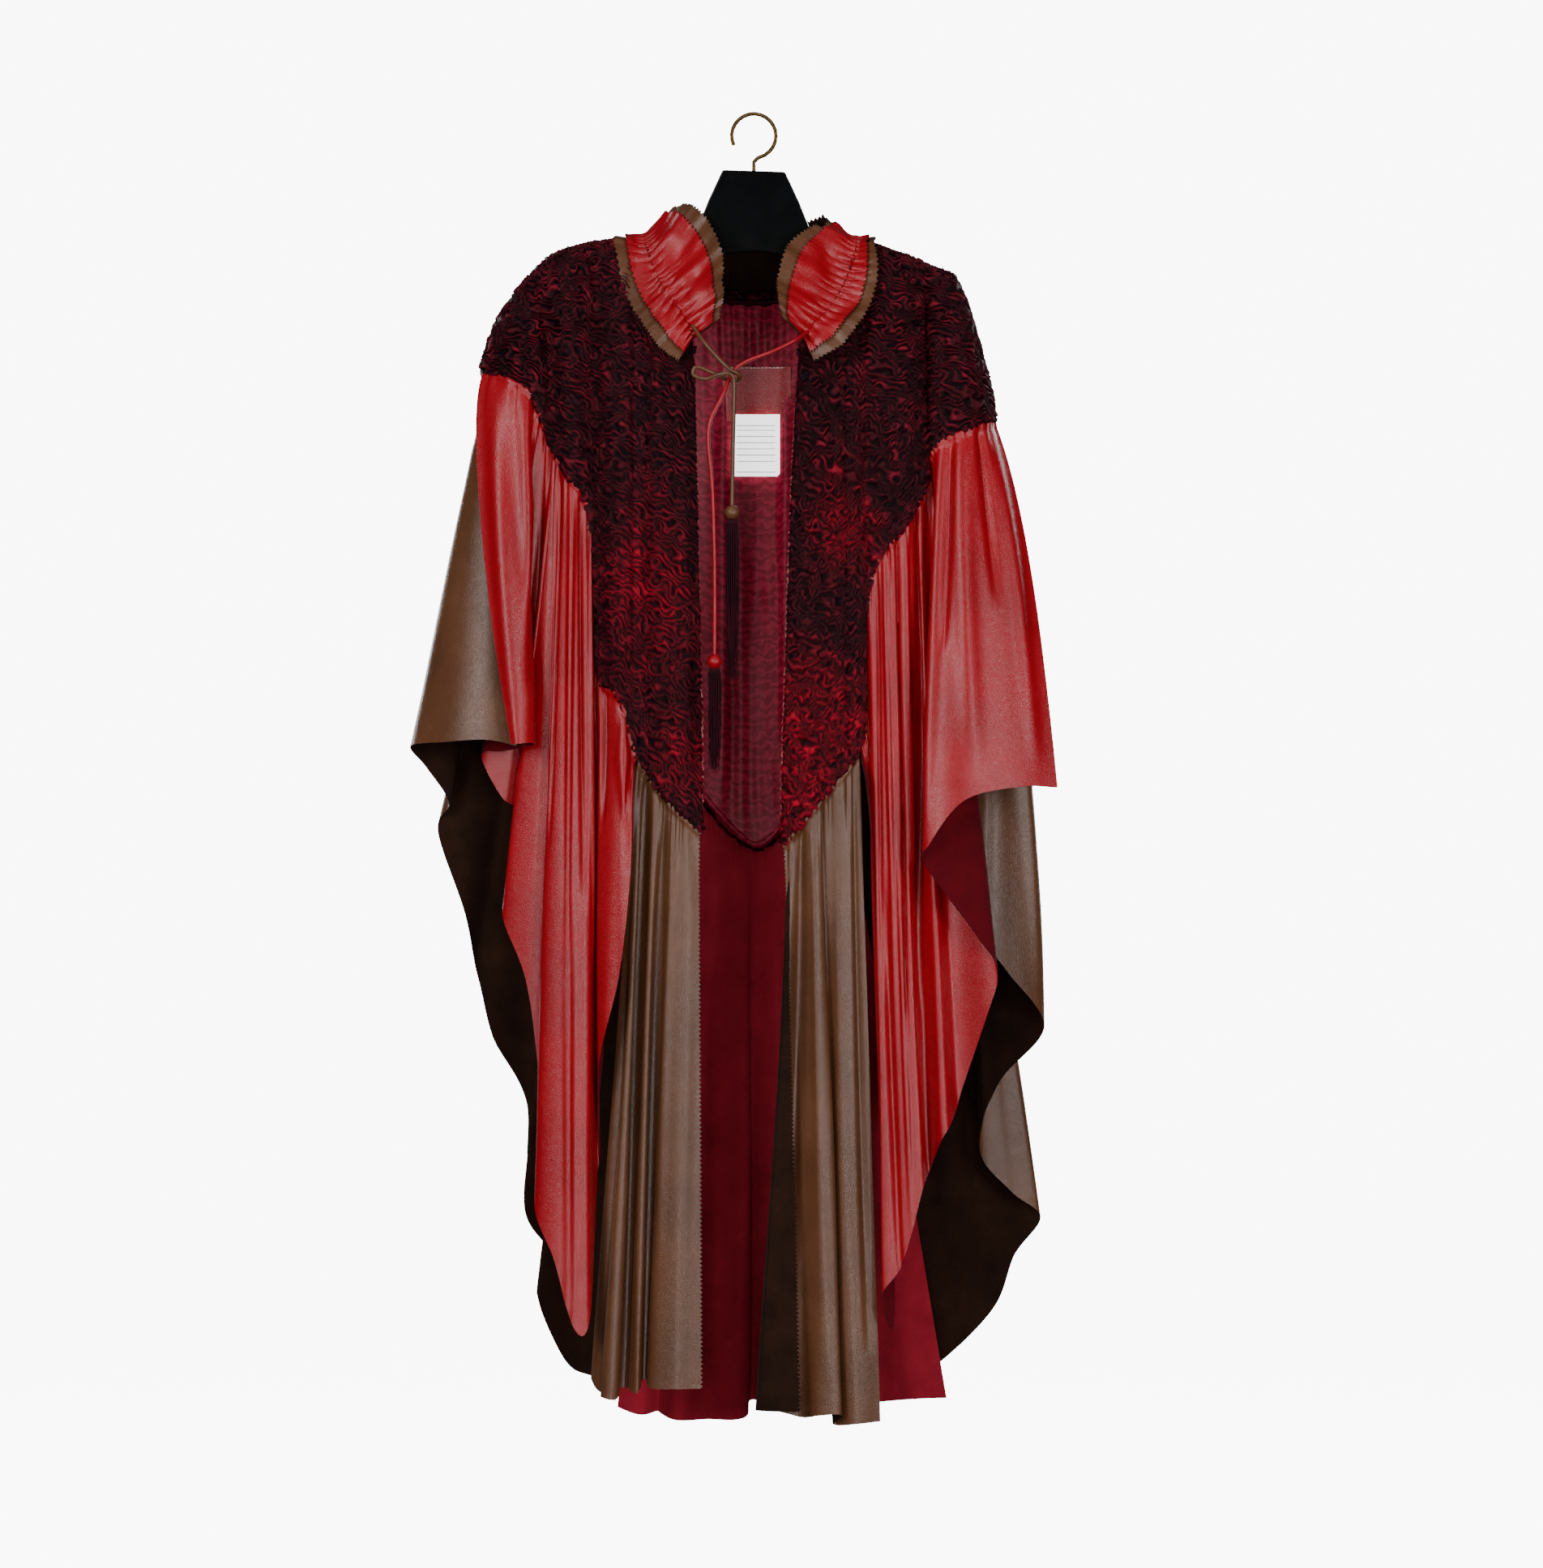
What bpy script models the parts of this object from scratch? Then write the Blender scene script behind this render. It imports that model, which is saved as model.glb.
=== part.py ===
"""A leather cape with a curly lamb yoke, hanging on a flat shop hanger.

The cape is seven gathered leather flounces, sewn to a yoke of three fur panels. Its neck has a
double ruffle with a drawstring, whose two ends are tied in front. Tables are in millimetres, seen
from the front: x to the wearer's left, y to the back, z up from the inside top of the hook.
"""

import math
from collections import namedtuple

import bpy
import bmesh
import numpy as np

COLLECTION = "leather_cape_on_hanger"
GUIDES = "Guides"
MM = 0.001
GAP = 0.35            # between two pieces that meet
SEAM_GAP = 0.9        # from the yoke's edge to a flounce's, whose folds turn within it
STEEP_GAP = 0.9       # more of it where the edge runs straight down, and its wall twists
SEAM_FLAT = 3.0       # how far a flounce hangs flat from its seam
FOLD_OPENING = 0.85   # under 1, the folds open fast below the seam
BOW_SHAPE = 2.6       # so that a bow is at its full width a third of the way down
FUR_WALL = 6.0        # skin and curls together
LEATHER_WALL = 1.2
LINING_WALL = 1.0
LINING_EASE = 2.3     # from the fur to the lining, which bridges the panel's bends
RIDGE_FLAT = 5.0      # each yoke panel leaves the shoulder ridge level, for this far
RIDGE_GAP = 0.2       # from the ridge's plane to each panel's edge
NECK_DEPTH = 12.0     # this far from the ridge's plane, a panel's top has no level part left
YOKE_ROWS = 9
YOKE_EASE = 1.3       # over 1, rows lie closer to the ridge
YOKE_SHOULDER = 3     # power of the turn over the shoulder
YOKE_DROP = 1.5       # power of the fall down to the seam
FLOUNCE_ROWS = 8
FLOUNCE_EASE = 1.2    # over 1, rows lie closer to the seam
FLOUNCE_STEPS = 2     # columns from one fold line to the next

HOOK_WIRE = 4.0
HOOK_RADIUS = 22.0    # of the wire's middle
HOOK_SHANK_TOP = -46.0
HOOK_TURN = (-60, 205)  # degrees, from the shank's side to the open end
HOOK_POINTS = 19
HANGER_THICK = 8.0
HANGER_EDGE = 2.5
HANGER_CORNER = 60      # degrees, corners sharper than this are rounded
ARM_HEIGHT = 26.0
ARM_DROP = 1.6        # from the fur to the arm, whose corners then clear it
ARM_END_LEFT = -228.0
ARM_END_RIGHT = 188.0
PLATE_TOP = -54.0
PLATE_TILT = 2.0      # how much lower its top is on the right
PLATE_LEFT = [(-46, -86), (-54, -106), (-60, -126)]
PLATE_RIGHT = [(62, -130), (54, -108), (46, -88)]
PLATE_FOOT = [(-80, -163), (-50, -145), (-24, -137), (2, -135), (26, -138), (52, -147), (78, -160)]
PLATE_TOP_HALF = 31.0
ARM_LEFT = (-103, -116, -135, -156, -176, -192, -206, -218, ARM_END_LEFT)
ARM_RIGHT = (96, 108, 122, 136, 152, 168, ARM_END_RIGHT)
ARM_LEFT_FOOT = (-218, -192, -156, -112)
ARM_RIGHT_FOOT = (108, 136, 168)
ARM_TIP = 4.0           # its rounded end beyond its last point

CORD_THICK = 4.0
CORD_STEP = 9.0
BEAD_THICK = 15.0
BEAD_HEIGHT = 13.0
BEAD_NECK = 0.45      # of its radius
BEAD_RINGS = 8
HEAD_HEIGHT = 4.0     # of a tassel
HEAD_FOOT = 6.4
HEAD_TOP = 5.0
STRAND_THICK = 1.4
STRAND_SPREAD = 0.4   # how much further from the middle a strand ends
STRAND_RINGS = ((1, 0.0), (5, 2.4), (8, 4.8))   # how many, and how far from the middle
ROUND_SIDES = 16
BROWN_TASSEL = 156.0
RED_TASSEL = 99.0

Column = namedtuple("Column", "top_x top_y top_z hem_x hem_y hem_z")
Fold = namedtuple("Fold", "seam hem_x hem_y hem_z bow", defaults=(0,))
Ruffle = namedtuple("Ruffle", "x y z out_x out_y out_z in_x in_y in_z")

# Fur panels, a row for each soft fold: its top on the shoulder ridge or neck, its foot on the seam.
YOKE_FRONT_LEFT = [
    Column(-259, 0, -226, -266, -8, -254),
    Column(-250, 0, -204, -242, -26, -259),
    Column(-232, 0, -178, -218, -33, -275),
    Column(-220, 0, -164, -207, -31, -305),
    Column(-206, 0, -149, -197, -36, -330),
    Column(-192, 0, -141, -179, -46, -361),
    Column(-176, 0, -135, -163, -40, -388),
    Column(-166, 0, -133, -155, -36, -470),
    Column(-156, 0, -131, -150, -44, -556),
    Column(-135, 0, -130, -131, -60, -575),
    Column(-108, -3, -134, -115, -56, -634),
    Column(-100, -15, -160, -103, -50, -652),
    Column(-88, -28, -188, -86, -58, -674),
    Column(-75, -40, -214, -68, -62, -693),
    Column(-62, -48, -238, -54, -58, -706),
]
YOKE_FRONT_RIGHT = [
    Column(48, -48, -238, 30, -58, -719),
    Column(62, -40, -214, 46, -62, -700),
    Column(78, -28, -188, 72, -60, -668),
    Column(92, -15, -160, 103, -53, -624),
    Column(101, -3, -139, 107, -44, -540),
    Column(116, 0, -133, 114, -46, -456),
    Column(136, 0, -140, 138, -50, -418),
    Column(152, 0, -145, 162, -42, -380),
    Column(168, 0, -152, 172, -28, -350),
    Column(180, 0, -158, 182, -38, -324),
    Column(197, 0, -166, 206, -42, -312),
    Column(210, 0, -202, 226, -30, -304),
    Column(224, 0, -254, 236, -10, -303),
]
YOKE_BACK = [
    Column(-259, 0, -226, -266, 8, -254),
    Column(-250, 0, -204, -242, 24, -266),
    Column(-232, 0, -178, -218, 36, -306),
    Column(-206, 0, -149, -190, 44, -368),
    Column(-176, 0, -135, -162, 52, -436),
    Column(-142, 0, -130, -132, 44, -508),
    Column(-108, 3, -134, -104, 56, -572),
    Column(-95, 19, -154, -76, 62, -632),
    Column(-62, 36, -172, -48, 56, -680),
    Column(-30, 40, -178, -20, 62, -712),
    Column(0, 42, -180, 4, 64, -726),
    Column(28, 40, -178, 28, 62, -708),
    Column(56, 36, -172, 56, 56, -672),
    Column(84, 19, -154, 84, 62, -626),
    Column(101, 3, -139, 112, 56, -560),
    Column(120, 0, -134, 134, 46, -495),
    Column(168, 0, -152, 168, 52, -430),
    Column(197, 0, -166, 196, 42, -372),
    Column(210, 0, -202, 220, 30, -326),
    Column(224, 0, -254, 236, 10, -303),
]

# Flounces, a row for each fold line: where it starts along the yoke's seam, counted in the yoke's
# own columns, where it ends on the hem, and how far it bows to the side on the way.
RED_FRONT_LEFT = [
    Fold(0, -237, -82, -625, -15),
    Fold(1, -230, -86, -625, -8),
    Fold(2, -219, -78, -624),
    Fold(2.25, -217, -62, -626),
    Fold(2.5, -246, -45, -632),
    Fold(2.75, -269, -36, -636),
    Fold(3, -249, -26, -678),
    Fold(3.25, -228, -20, -694),
    Fold(3.5, -226, -30, -750),
    Fold(3.75, -247, -36, -792),
    Fold(4, -222, -50, -866),
    Fold(4.25, -208, -56, -1010),
    Fold(4.5, -215, -78, -1078),
    Fold(5, -195, -92, -1130),
    Fold(5.5, -176, -94, -1196),
    Fold(6, -160, -90, -1186),
    Fold(7, -153, -56, -1040),
    Fold(8, -151, -84, -940),
    Fold(9, -131, -90, -850),
    Fold(9.5, -120, -84, -750),
    Fold(10, -118, -74, -662),
]
BROWN_FRONT_LEFT = [
    Fold(10.04, -160, -52, -1250),
    Fold(10.25, -154, -64, -1262),
    Fold(10.5, -149, -76, -1266),
    Fold(10.75, -134, -78, -1268),
    Fold(11, -129, -58, -1258),
    Fold(11.5, -114, -76, -1262),
    Fold(12, -107, -56, -1250),
    Fold(12.5, -102, -76, -1257),
    Fold(13, -78, -84, -1257),
    Fold(14, -52, -80, -1257),
]
BROWN_FRONT_RIGHT = [
    Fold(0, 44, -94, -1278),
    Fold(0.3, 22, -92, -1278),
    Fold(0.5, 4, -84, -1278),
    Fold(0.7, 24, -74, -1280),
    Fold(1, 48, -72, -1286),
    Fold(1.4, 64, -84, -1283),
    Fold(1.7, 86, -86, -1282),
    Fold(2, 80, -66, -1294),
    Fold(2.5, 100, -78, -1292),
    Fold(2.96, 124, -70, -1290),
]
RED_FRONT_RIGHT = [
    Fold(3, 113, -74, -661),
    Fold(3.5, 120, -72, -800),
    Fold(4, 134, -66, -1010),
    Fold(4.5, 137, -76, -1190),
    Fold(5, 126, -92, -1164),
    Fold(5.5, 146, -94, -1132),
    Fold(6, 166, -90, -1060),
    Fold(6.5, 172, -68, -1046),
    Fold(7, 186, -86, -1010),
    Fold(7.5, 202, -70, -972),
    Fold(8, 230, -80, -890),
    Fold(8.5, 240, -84, -846),
    Fold(8.75, 218, -94, -812),
    Fold(9, 168, -108, -744),
    Fold(9.5, 172, -118, -722),
    Fold(10, 206, -116, -680),
    Fold(11, 262, -100, -667, 4),
    Fold(12, 297, -84, -668, 12),
]
BROWN_BACK_LEFT = [
    Fold(0, -233, -64, -627),
    Fold(0.15, -262, -66, -621, -2),
    Fold(0.3, -302, -54, -623, -5),
    Fold(0.5, -341, -24, -627, -9),
    Fold(1, -326, 0, -648, -10),
    Fold(1.5, -304, 8, -683, -4),
    Fold(2, -316, 22, -711),
    Fold(2.4, -288, 28, -796),
    Fold(2.7, -276, 44, -860),
    Fold(3, -262, 38, -916),
    Fold(3.5, -228, 54, -986),
    Fold(4, -230, 48, -1090),
    Fold(4.5, -207, 72, -1138),
    Fold(5, -217, 60, -1182),
    Fold(5.5, -190, 76, -1246),
    Fold(6, -163, 82, -1262),
    Fold(7, -122, 76, -1274),
]
RED_BACK = [
    Fold(7.04, -136, 54, -1290),
    Fold(7.5, -114, 40, -1296),
    Fold(8, -96, 56, -1294),
    Fold(8.5, -78, 36, -1301),
    Fold(9, -47, 44, -1301),
    Fold(9.5, -13, 32, -1299),
    Fold(9.75, -6, 56, -1284),
    Fold(10, 12, 50, -1284),
    Fold(10.5, 34, 34, -1290),
    Fold(11, 63, 52, -1290),
    Fold(11.5, 93, 36, -1286),
    Fold(12, 128, 50, -1284),
    Fold(12.5, 161, 38, -1280),
    Fold(12.96, 193, 46, -1280),
]
BROWN_BACK_RIGHT = [
    Fold(13, 122, 78, -1274),
    Fold(13.5, 160, 84, -1264),
    Fold(14, 196, 76, -1240),
    Fold(15, 242, 64, -1190),
    Fold(15.5, 262, 62, -1138),
    Fold(16, 287, 50, -1099),
    Fold(16.5, 257, 40, -1072),
    Fold(17, 226, 30, -1030),
    Fold(17.5, 243, 12, -963),
    Fold(18, 286, -16, -906, 18),
    Fold(18.3, 250, -36, -850, 12),
    Fold(18.6, 212, -46, -800),
    Fold(19, 176, -48, -740),
]

# The neck ruffle, a row for each stretch: its gathered line, its outer edge and its inner edge.
COLLAR = [
    Ruffle(-60, -60, -226, -72, -70, -246, -36, -72, -208),
    Ruffle(-66, -58, -208, -90, -70, -232, -34, -72, -180),
    Ruffle(-82, -48, -184, -106, -62, -210, -34, -58, -144),
    Ruffle(-96, -34, -160, -124, -46, -174, -50, -40, -108),
    Ruffle(-106, -18, -134, -134, -28, -126, -68, -20, -91),
    Ruffle(-108, 4, -120, -132, 6, -118, -84, 4, -94),
    Ruffle(-96, 24, -134, -120, 40, -128, -82, 24, -96),
    Ruffle(-64, 42, -152, -74, 64, -164, -56, 42, -106),
    Ruffle(0, 50, -162, 0, 76, -180, 0, 48, -112),
    Ruffle(58, 42, -152, 66, 64, -164, 50, 42, -106),
    Ruffle(88, 24, -134, 110, 40, -130, 76, 24, -98),
    Ruffle(101, 4, -122, 118, 6, -120, 72, 4, -110),
    Ruffle(102, -18, -136, 116, -32, -132, 60, -20, -112),
    Ruffle(92, -34, -166, 116, -48, -168, 38, -40, -132),
    Ruffle(76, -48, -194, 104, -62, -204, 28, -56, -166),
    Ruffle(58, -58, -212, 86, -70, -230, 26, -70, -190),
    Ruffle(50, -60, -226, 58, -70, -246, 30, -72, -208),
]
RUFFLE_STEPS = 4      # columns from one row of the table to the next
RUFFLE_WAVE = 4.0     # half a wave's height at the table's edges
LINE_WAVE = 0.15      # the share of it that is left on the gathered line
RED_REACH = (0.66, 0.8)     # the red ruffle's outer and inner widths, over the table's
BROWN_REACH = (1.03, 1.03)   # the brown one shows beyond it all round
UNDER_DROP = 3.7      # from the red ruffle's middle to the brown one's
PATCH_POINTS = 5      # each way, over the facing and the label

# Routes of the two ties, from where they leave the ruffle to their beads.
BROWN_TIE = [
    (-60, -63.2, -214), (-48, -78, -232), (-34, -84, -248), (-24, -87, -258), (-14, -84, -264),
    (-16, -77, -270), (-26, -79, -268), (-40, -86, -262), (-56, -86, -256), (-59, -86, -264),
    (-46, -87, -268), (-34, -92, -264), (-22, -94, -264), (-19, -92, -276), (-20, -90, -330),
    (-21, -90, -392),
]
RED_TIE = [
    (54, -61.9, -219), (40, -80, -230), (18, -83, -241), (-6, -81, -250), (-18, -80, -258),
    (-24, -84, -268), (-30, -90, -284), (-44, -94, -318), (-40, -94, -378), (-38, -96, -450),
    (-38, -96, -538),
]


def clear_scene():
    for item in list(bpy.data.objects):
        bpy.data.objects.remove(item, do_unlink=True)


def material(name, colour, roughness, metallic=0.0):
    made = bpy.data.materials.new(name)
    made.use_nodes = True
    shader = made.node_tree.nodes["Principled BSDF"]
    shader.inputs["Base Color"].default_value = (*colour, 1.0)
    shader.inputs["Roughness"].default_value = roughness
    shader.inputs["Metallic"].default_value = metallic
    return made


def add_object(name, data, finish):
    made = bpy.data.objects.new(name, data)
    made.data.materials.append(finish)
    bpy.data.collections[COLLECTION].objects.link(made)
    return made


def through(rows, steps):
    """Smooth columns through a table's rows, with the given number from one row to the next."""
    rows = np.asarray(rows, dtype=float)
    padded = np.vstack([2 * rows[0] - rows[1], rows, 2 * rows[-1] - rows[-2]])
    columns = []
    for i in range(len(rows) - 1):
        a, b, c, d = padded[i:i + 4]
        for k in range(steps):
            t = k / steps
            columns.append(
                0.5 * (2 * b + (c - a) * t + (2 * a - 5 * b + 4 * c - d) * t * t
                       + (3 * b - a - 3 * c + d) * t ** 3)
            )
    columns.append(rows[-1])
    return np.array(columns)


def grid_normals(grid):
    """The normal at each point of a grid, to the front where its columns run to +x."""
    along = np.gradient(grid, axis=1)
    down = np.gradient(grid, axis=0)
    normals = np.cross(down, along)
    return normals / np.linalg.norm(normals, axis=2, keepdims=True)


def sheet(name, grid, wall, finish):
    """A cloth wall whose middle is the given grid of points in millimetres."""
    rows, columns = grid.shape[:2]
    faces = []
    for j in range(rows - 1):
        for i in range(columns - 1):
            a = j * columns + i
            faces.append((a, a + columns, a + columns + 1, a + 1))
    mesh = bpy.data.meshes.new(name)
    mesh.from_pydata((grid.reshape(-1, 3) * MM).tolist(), [], faces)
    mesh.shade_smooth()
    made = add_object(name, mesh, finish)
    solid = made.modifiers.new("Wall", "SOLIDIFY")
    solid.thickness = wall * MM
    solid.offset = 0.0
    return made


def yoke_grid(table):
    """A fur panel's middle: level at the shoulder ridge, then over it and down to the seam."""
    columns = np.asarray(table, dtype=float)
    top, hem = columns[:, :3], columns[:, 3:]
    side = np.sign(hem[:, 1])
    top = top.copy()
    top[:, 1] += side * RIDGE_GAP
    level = top.copy()
    level[:, 1] += side * RIDGE_FLAT * np.clip(1 - np.abs(top[:, 1]) / NECK_DEPTH, 0.1, 1)
    rows = [top]
    for v in (np.arange(YOKE_ROWS + 1) / YOKE_ROWS) ** YOKE_EASE:
        place = level + (hem - level) * v
        place[:, 1] = level[:, 1] + (hem[:, 1] - level[:, 1]) * (1 - (1 - v) ** YOKE_SHOULDER)
        place[:, 2] = level[:, 2] + (hem[:, 2] - level[:, 2]) * v ** YOKE_DROP
        rows.append(place)
    return np.array(rows)


def seam_line(yoke, stations):
    """Points just below a yoke's lower edge, at the given stations, in its own columns."""
    hem = yoke[-1]
    tangent = np.gradient(hem, axis=0)
    tangent /= np.linalg.norm(tangent, axis=1, keepdims=True)
    down = yoke[-1] - yoke[-2]
    below = down - tangent * np.sum(down * tangent, axis=1, keepdims=True)
    below /= np.linalg.norm(below, axis=1, keepdims=True)
    index = np.arange(len(hem))
    moved = hem + below * (SEAM_GAP + STEEP_GAP * tangent[:, 2:] ** 8)
    return np.stack([np.interp(stations, index, moved[:, k]) for k in range(3)], axis=1)


def flounce_grid(table, yoke_table):
    """A flounce's middle: it leaves the seam straight down, and its folds open below."""
    columns = through(table, FLOUNCE_STEPS)
    top = seam_line(yoke_grid(yoke_table), columns[:, 0])
    hem = columns[:, 1:4]
    start = top - np.array([0.0, 0.0, SEAM_FLAT])
    rows = [top]
    for v in (np.arange(FLOUNCE_ROWS + 1) / FLOUNCE_ROWS) ** FLOUNCE_EASE:
        place = start + (hem - start) * v
        place[:, 0] += columns[:, 4] * BOW_SHAPE * math.sqrt(v) * (1 - v)
        place[:, 1] = start[:, 1] + (hem[:, 1] - start[:, 1]) * v ** FOLD_OPENING
        rows.append(place)
    return np.array(rows)


def collar_grid(reach, drop):
    """The ruffle's middle, from its outer edge over the gathered line to its inner edge."""
    columns = through(COLLAR, RUFFLE_STEPS)
    line, outer, inner = columns[:, :3], columns[:, 3:6], columns[:, 6:]
    count = len(columns)
    wave = np.where(np.arange(count) % 2 == 0, 1.0, -1.0)[:, None]
    rows, fullness = [], []
    for t in (-1.0, -0.5, 0.0, 0.5, 1.0):
        edge, width = (outer, reach[0]) if t < 0 else (inner, reach[1])
        share = abs(t) * width
        rows.append(line + (edge - line) * share)
        fullness.append(LINE_WAVE + (1 - LINE_WAVE) * share)
    grid = np.array(rows)
    normals = grid_normals(grid)
    return grid - normals * (np.array(fullness)[:, None, None] * wave * RUFFLE_WAVE + drop)


def back_depth(x, z):
    """The back yoke's middle, as y, over a point of its front view."""
    columns = yoke_grid(YOKE_BACK)
    places = []
    for i in range(columns.shape[1]):
        height = columns[::-1, i, 2]
        places.append([np.interp(z, height, columns[::-1, i, k]) for k in (0, 1)])
    places = np.array(places)
    return float(np.interp(x, places[:, 0], places[:, 1]))


def patch(name, left, right, top, foot, lift, wall, finish):
    """A flat-lying piece on the inside of the back, over a rectangle of its front view."""
    grid = np.array([
        [(x, back_depth(x, z) - lift, z) for x in np.linspace(left, right, PATCH_POINTS)]
        for z in np.linspace(top, foot, PATCH_POINTS)
    ])
    return sheet(name, grid, wall, finish)


def ridge_height(x):
    """The shoulder ridge's middle, from the front panels' tops."""
    tops = [(c.top_x, c.top_z) for c in YOKE_FRONT_LEFT[:11] + YOKE_FRONT_RIGHT[4:]]
    return float(np.interp(x, [t[0] for t in tops], [t[1] for t in tops]))


def arm_top(x):
    """The hanger arm's upper edge, which lies under the fur's inner face."""
    slope = (ridge_height(x + 8) - ridge_height(x - 8)) / 16
    return ridge_height(x) - (FUR_WALL / 2 + ARM_DROP) * math.hypot(1.0, slope)


def hanger(finish):
    """The flat moulded hanger, from the outline of its plate and two arms."""
    outline = [(-PLATE_TOP_HALF, PLATE_TOP)] + PLATE_LEFT
    outline += [(x, arm_top(x)) for x in ARM_LEFT]
    outline += [(ARM_END_LEFT - ARM_TIP, arm_top(ARM_END_LEFT) - ARM_HEIGHT * 0.5)]
    outline += [(x, arm_top(x) - ARM_HEIGHT) for x in ARM_LEFT_FOOT]
    outline += PLATE_FOOT
    outline += [(x, arm_top(x) - ARM_HEIGHT) for x in ARM_RIGHT_FOOT]
    outline += [(ARM_END_RIGHT + ARM_TIP, arm_top(ARM_END_RIGHT) - ARM_HEIGHT * 0.5)]
    outline += [(x, arm_top(x)) for x in ARM_RIGHT[::-1]]
    outline += PLATE_RIGHT + [(PLATE_TOP_HALF, PLATE_TOP - PLATE_TILT)]
    curve = bpy.data.curves.new("hanger", "CURVE")
    curve.dimensions = "2D"
    curve.fill_mode = "BOTH"
    curve.extrude = HANGER_THICK / 2 * MM
    spline = curve.splines.new("POLY")
    spline.points.add(len(outline) - 1)
    for point, (x, z) in zip(spline.points, outline):
        point.co = (x * MM, z * MM, 0.0, 1.0)
    spline.use_cyclic_u = True
    made = add_object("hanger", curve, finish)
    made.rotation_euler = (math.pi / 2, 0.0, 0.0)
    weld = made.modifiers.new("Weld", "WELD")
    weld.merge_threshold = 0.0001
    edge = made.modifiers.new("Edge", "BEVEL")
    edge.width = HANGER_EDGE * MM
    edge.segments = 2
    edge.limit_method = "ANGLE"
    edge.angle_limit = math.radians(HANGER_CORNER)
    return made


def tube(name, points, thick, finish, resolution=2):
    curve = bpy.data.curves.new(name, "CURVE")
    curve.dimensions = "3D"
    curve.bevel_depth = thick / 2 * MM
    curve.bevel_resolution = resolution
    curve.use_fill_caps = True
    spline = curve.splines.new("POLY")
    spline.points.add(len(points) - 1)
    for point, place in zip(spline.points, points):
        point.co = (place[0] * MM, place[1] * MM, place[2] * MM, 1.0)
    return add_object(name, curve, finish)


def hook(finish):
    turns = np.radians(np.linspace(*HOOK_TURN, HOOK_POINTS))
    arc = [(HOOK_RADIUS * math.cos(a), 0.0, HOOK_RADIUS * math.sin(a) - HOOK_RADIUS + HOOK_WIRE / 2)
           for a in turns]
    foot = PLATE_TOP - PLATE_TILT / 2 + GAP
    shank = [(0.0, 0.0, foot), (0.0, 0.0, HOOK_SHANK_TOP), (4.0, 0.0, HOOK_SHANK_TOP + 4)]
    return tube("hook", shank + arc, HOOK_WIRE, finish, 3)


def tie(name, route, finish):
    """A leather cord through hand-chosen points, read from a smooth curve at even steps."""
    fine = through(route, 12)
    lengths = np.concatenate([[0.0], np.cumsum(np.linalg.norm(np.diff(fine, axis=0), axis=1))])
    count = int(round(lengths[-1] / CORD_STEP))
    stations = np.linspace(0.0, lengths[-1], count + 1)
    points = np.stack([np.interp(stations, lengths, fine[:, k]) for k in range(3)], axis=1)
    return tube(name, points, CORD_THICK, finish)


def bead(name, foot_of_cord, finish):
    """A turned bead under a cord's end, widest at its middle."""
    x, y, z = foot_of_cord
    top = z - GAP
    profile = []
    for k in range(BEAD_RINGS + 1):
        t = k / BEAD_RINGS
        reach = 0.5 * BEAD_THICK * (BEAD_NECK + (1 - BEAD_NECK) * math.sin(math.pi * t))
        profile.append((reach, top - BEAD_HEIGHT * t))
    profile = [(0.0, top)] + profile + [(0.0, top - BEAD_HEIGHT)]
    mesh = bpy.data.meshes.new(name)
    edges = [(k, k + 1) for k in range(len(profile) - 1)]
    mesh.from_pydata([(r * MM, 0.0, h * MM) for r, h in profile], edges, [])
    made = add_object(name, mesh, finish)
    made.location = (x * MM, y * MM, 0.0)
    turn = made.modifiers.new("Turn", "SCREW")
    turn.steps = ROUND_SIDES
    turn.render_steps = ROUND_SIDES
    turn.use_merge_vertices = True
    turn.merge_threshold = 0.0001
    return top - BEAD_HEIGHT


def strand_mesh(name, length):
    """Loose three-sided leather strands in two rings and a middle one, that start in the head."""
    built = bmesh.new()
    for count, reach in STRAND_RINGS:
        for k in range(count):
            angle = 2 * math.pi * k / count + reach
            strand = bmesh.ops.create_cone(built, cap_ends=True, segments=3,
                                           radius1=STRAND_THICK / 2 * MM,
                                           radius2=STRAND_THICK / 2 * MM, depth=length * MM)
            for vert in strand["verts"]:
                down = 0.5 - vert.co.z / (length * MM)
                out = reach * (1 + STRAND_SPREAD * down) * MM
                vert.co.x += out * math.cos(angle)
                vert.co.y += out * math.sin(angle)
                vert.co.z -= length / 2 * MM
    mesh = bpy.data.meshes.new(name)
    built.to_mesh(mesh)
    built.free()
    return mesh


def tassel(name, foot_of_cord, bead_foot, length, finish):
    """A small head under a bead, with strands fused into its underside."""
    head = bmesh.new()
    bmesh.ops.create_cone(head, cap_ends=True, segments=ROUND_SIDES, radius1=HEAD_FOOT * MM,
                          radius2=HEAD_TOP * MM, depth=HEAD_HEIGHT * MM)
    mesh = bpy.data.meshes.new(name)
    head.to_mesh(mesh)
    head.free()
    x, y = foot_of_cord[:2]
    made = add_object(name, mesh, finish)
    made.location = (x * MM, y * MM, (bead_foot - GAP - HEAD_HEIGHT / 2) * MM)
    strands = bpy.data.objects.new(name + "_strands", strand_mesh(name + "_strands", length))
    bpy.data.collections[GUIDES].objects.link(strands)
    strands.location = made.location
    strands.hide_render = True
    strands.display_type = "WIRE"
    join = made.modifiers.new("Strands", "BOOLEAN")
    join.operation = "UNION"
    join.object = strands
    return made


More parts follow.
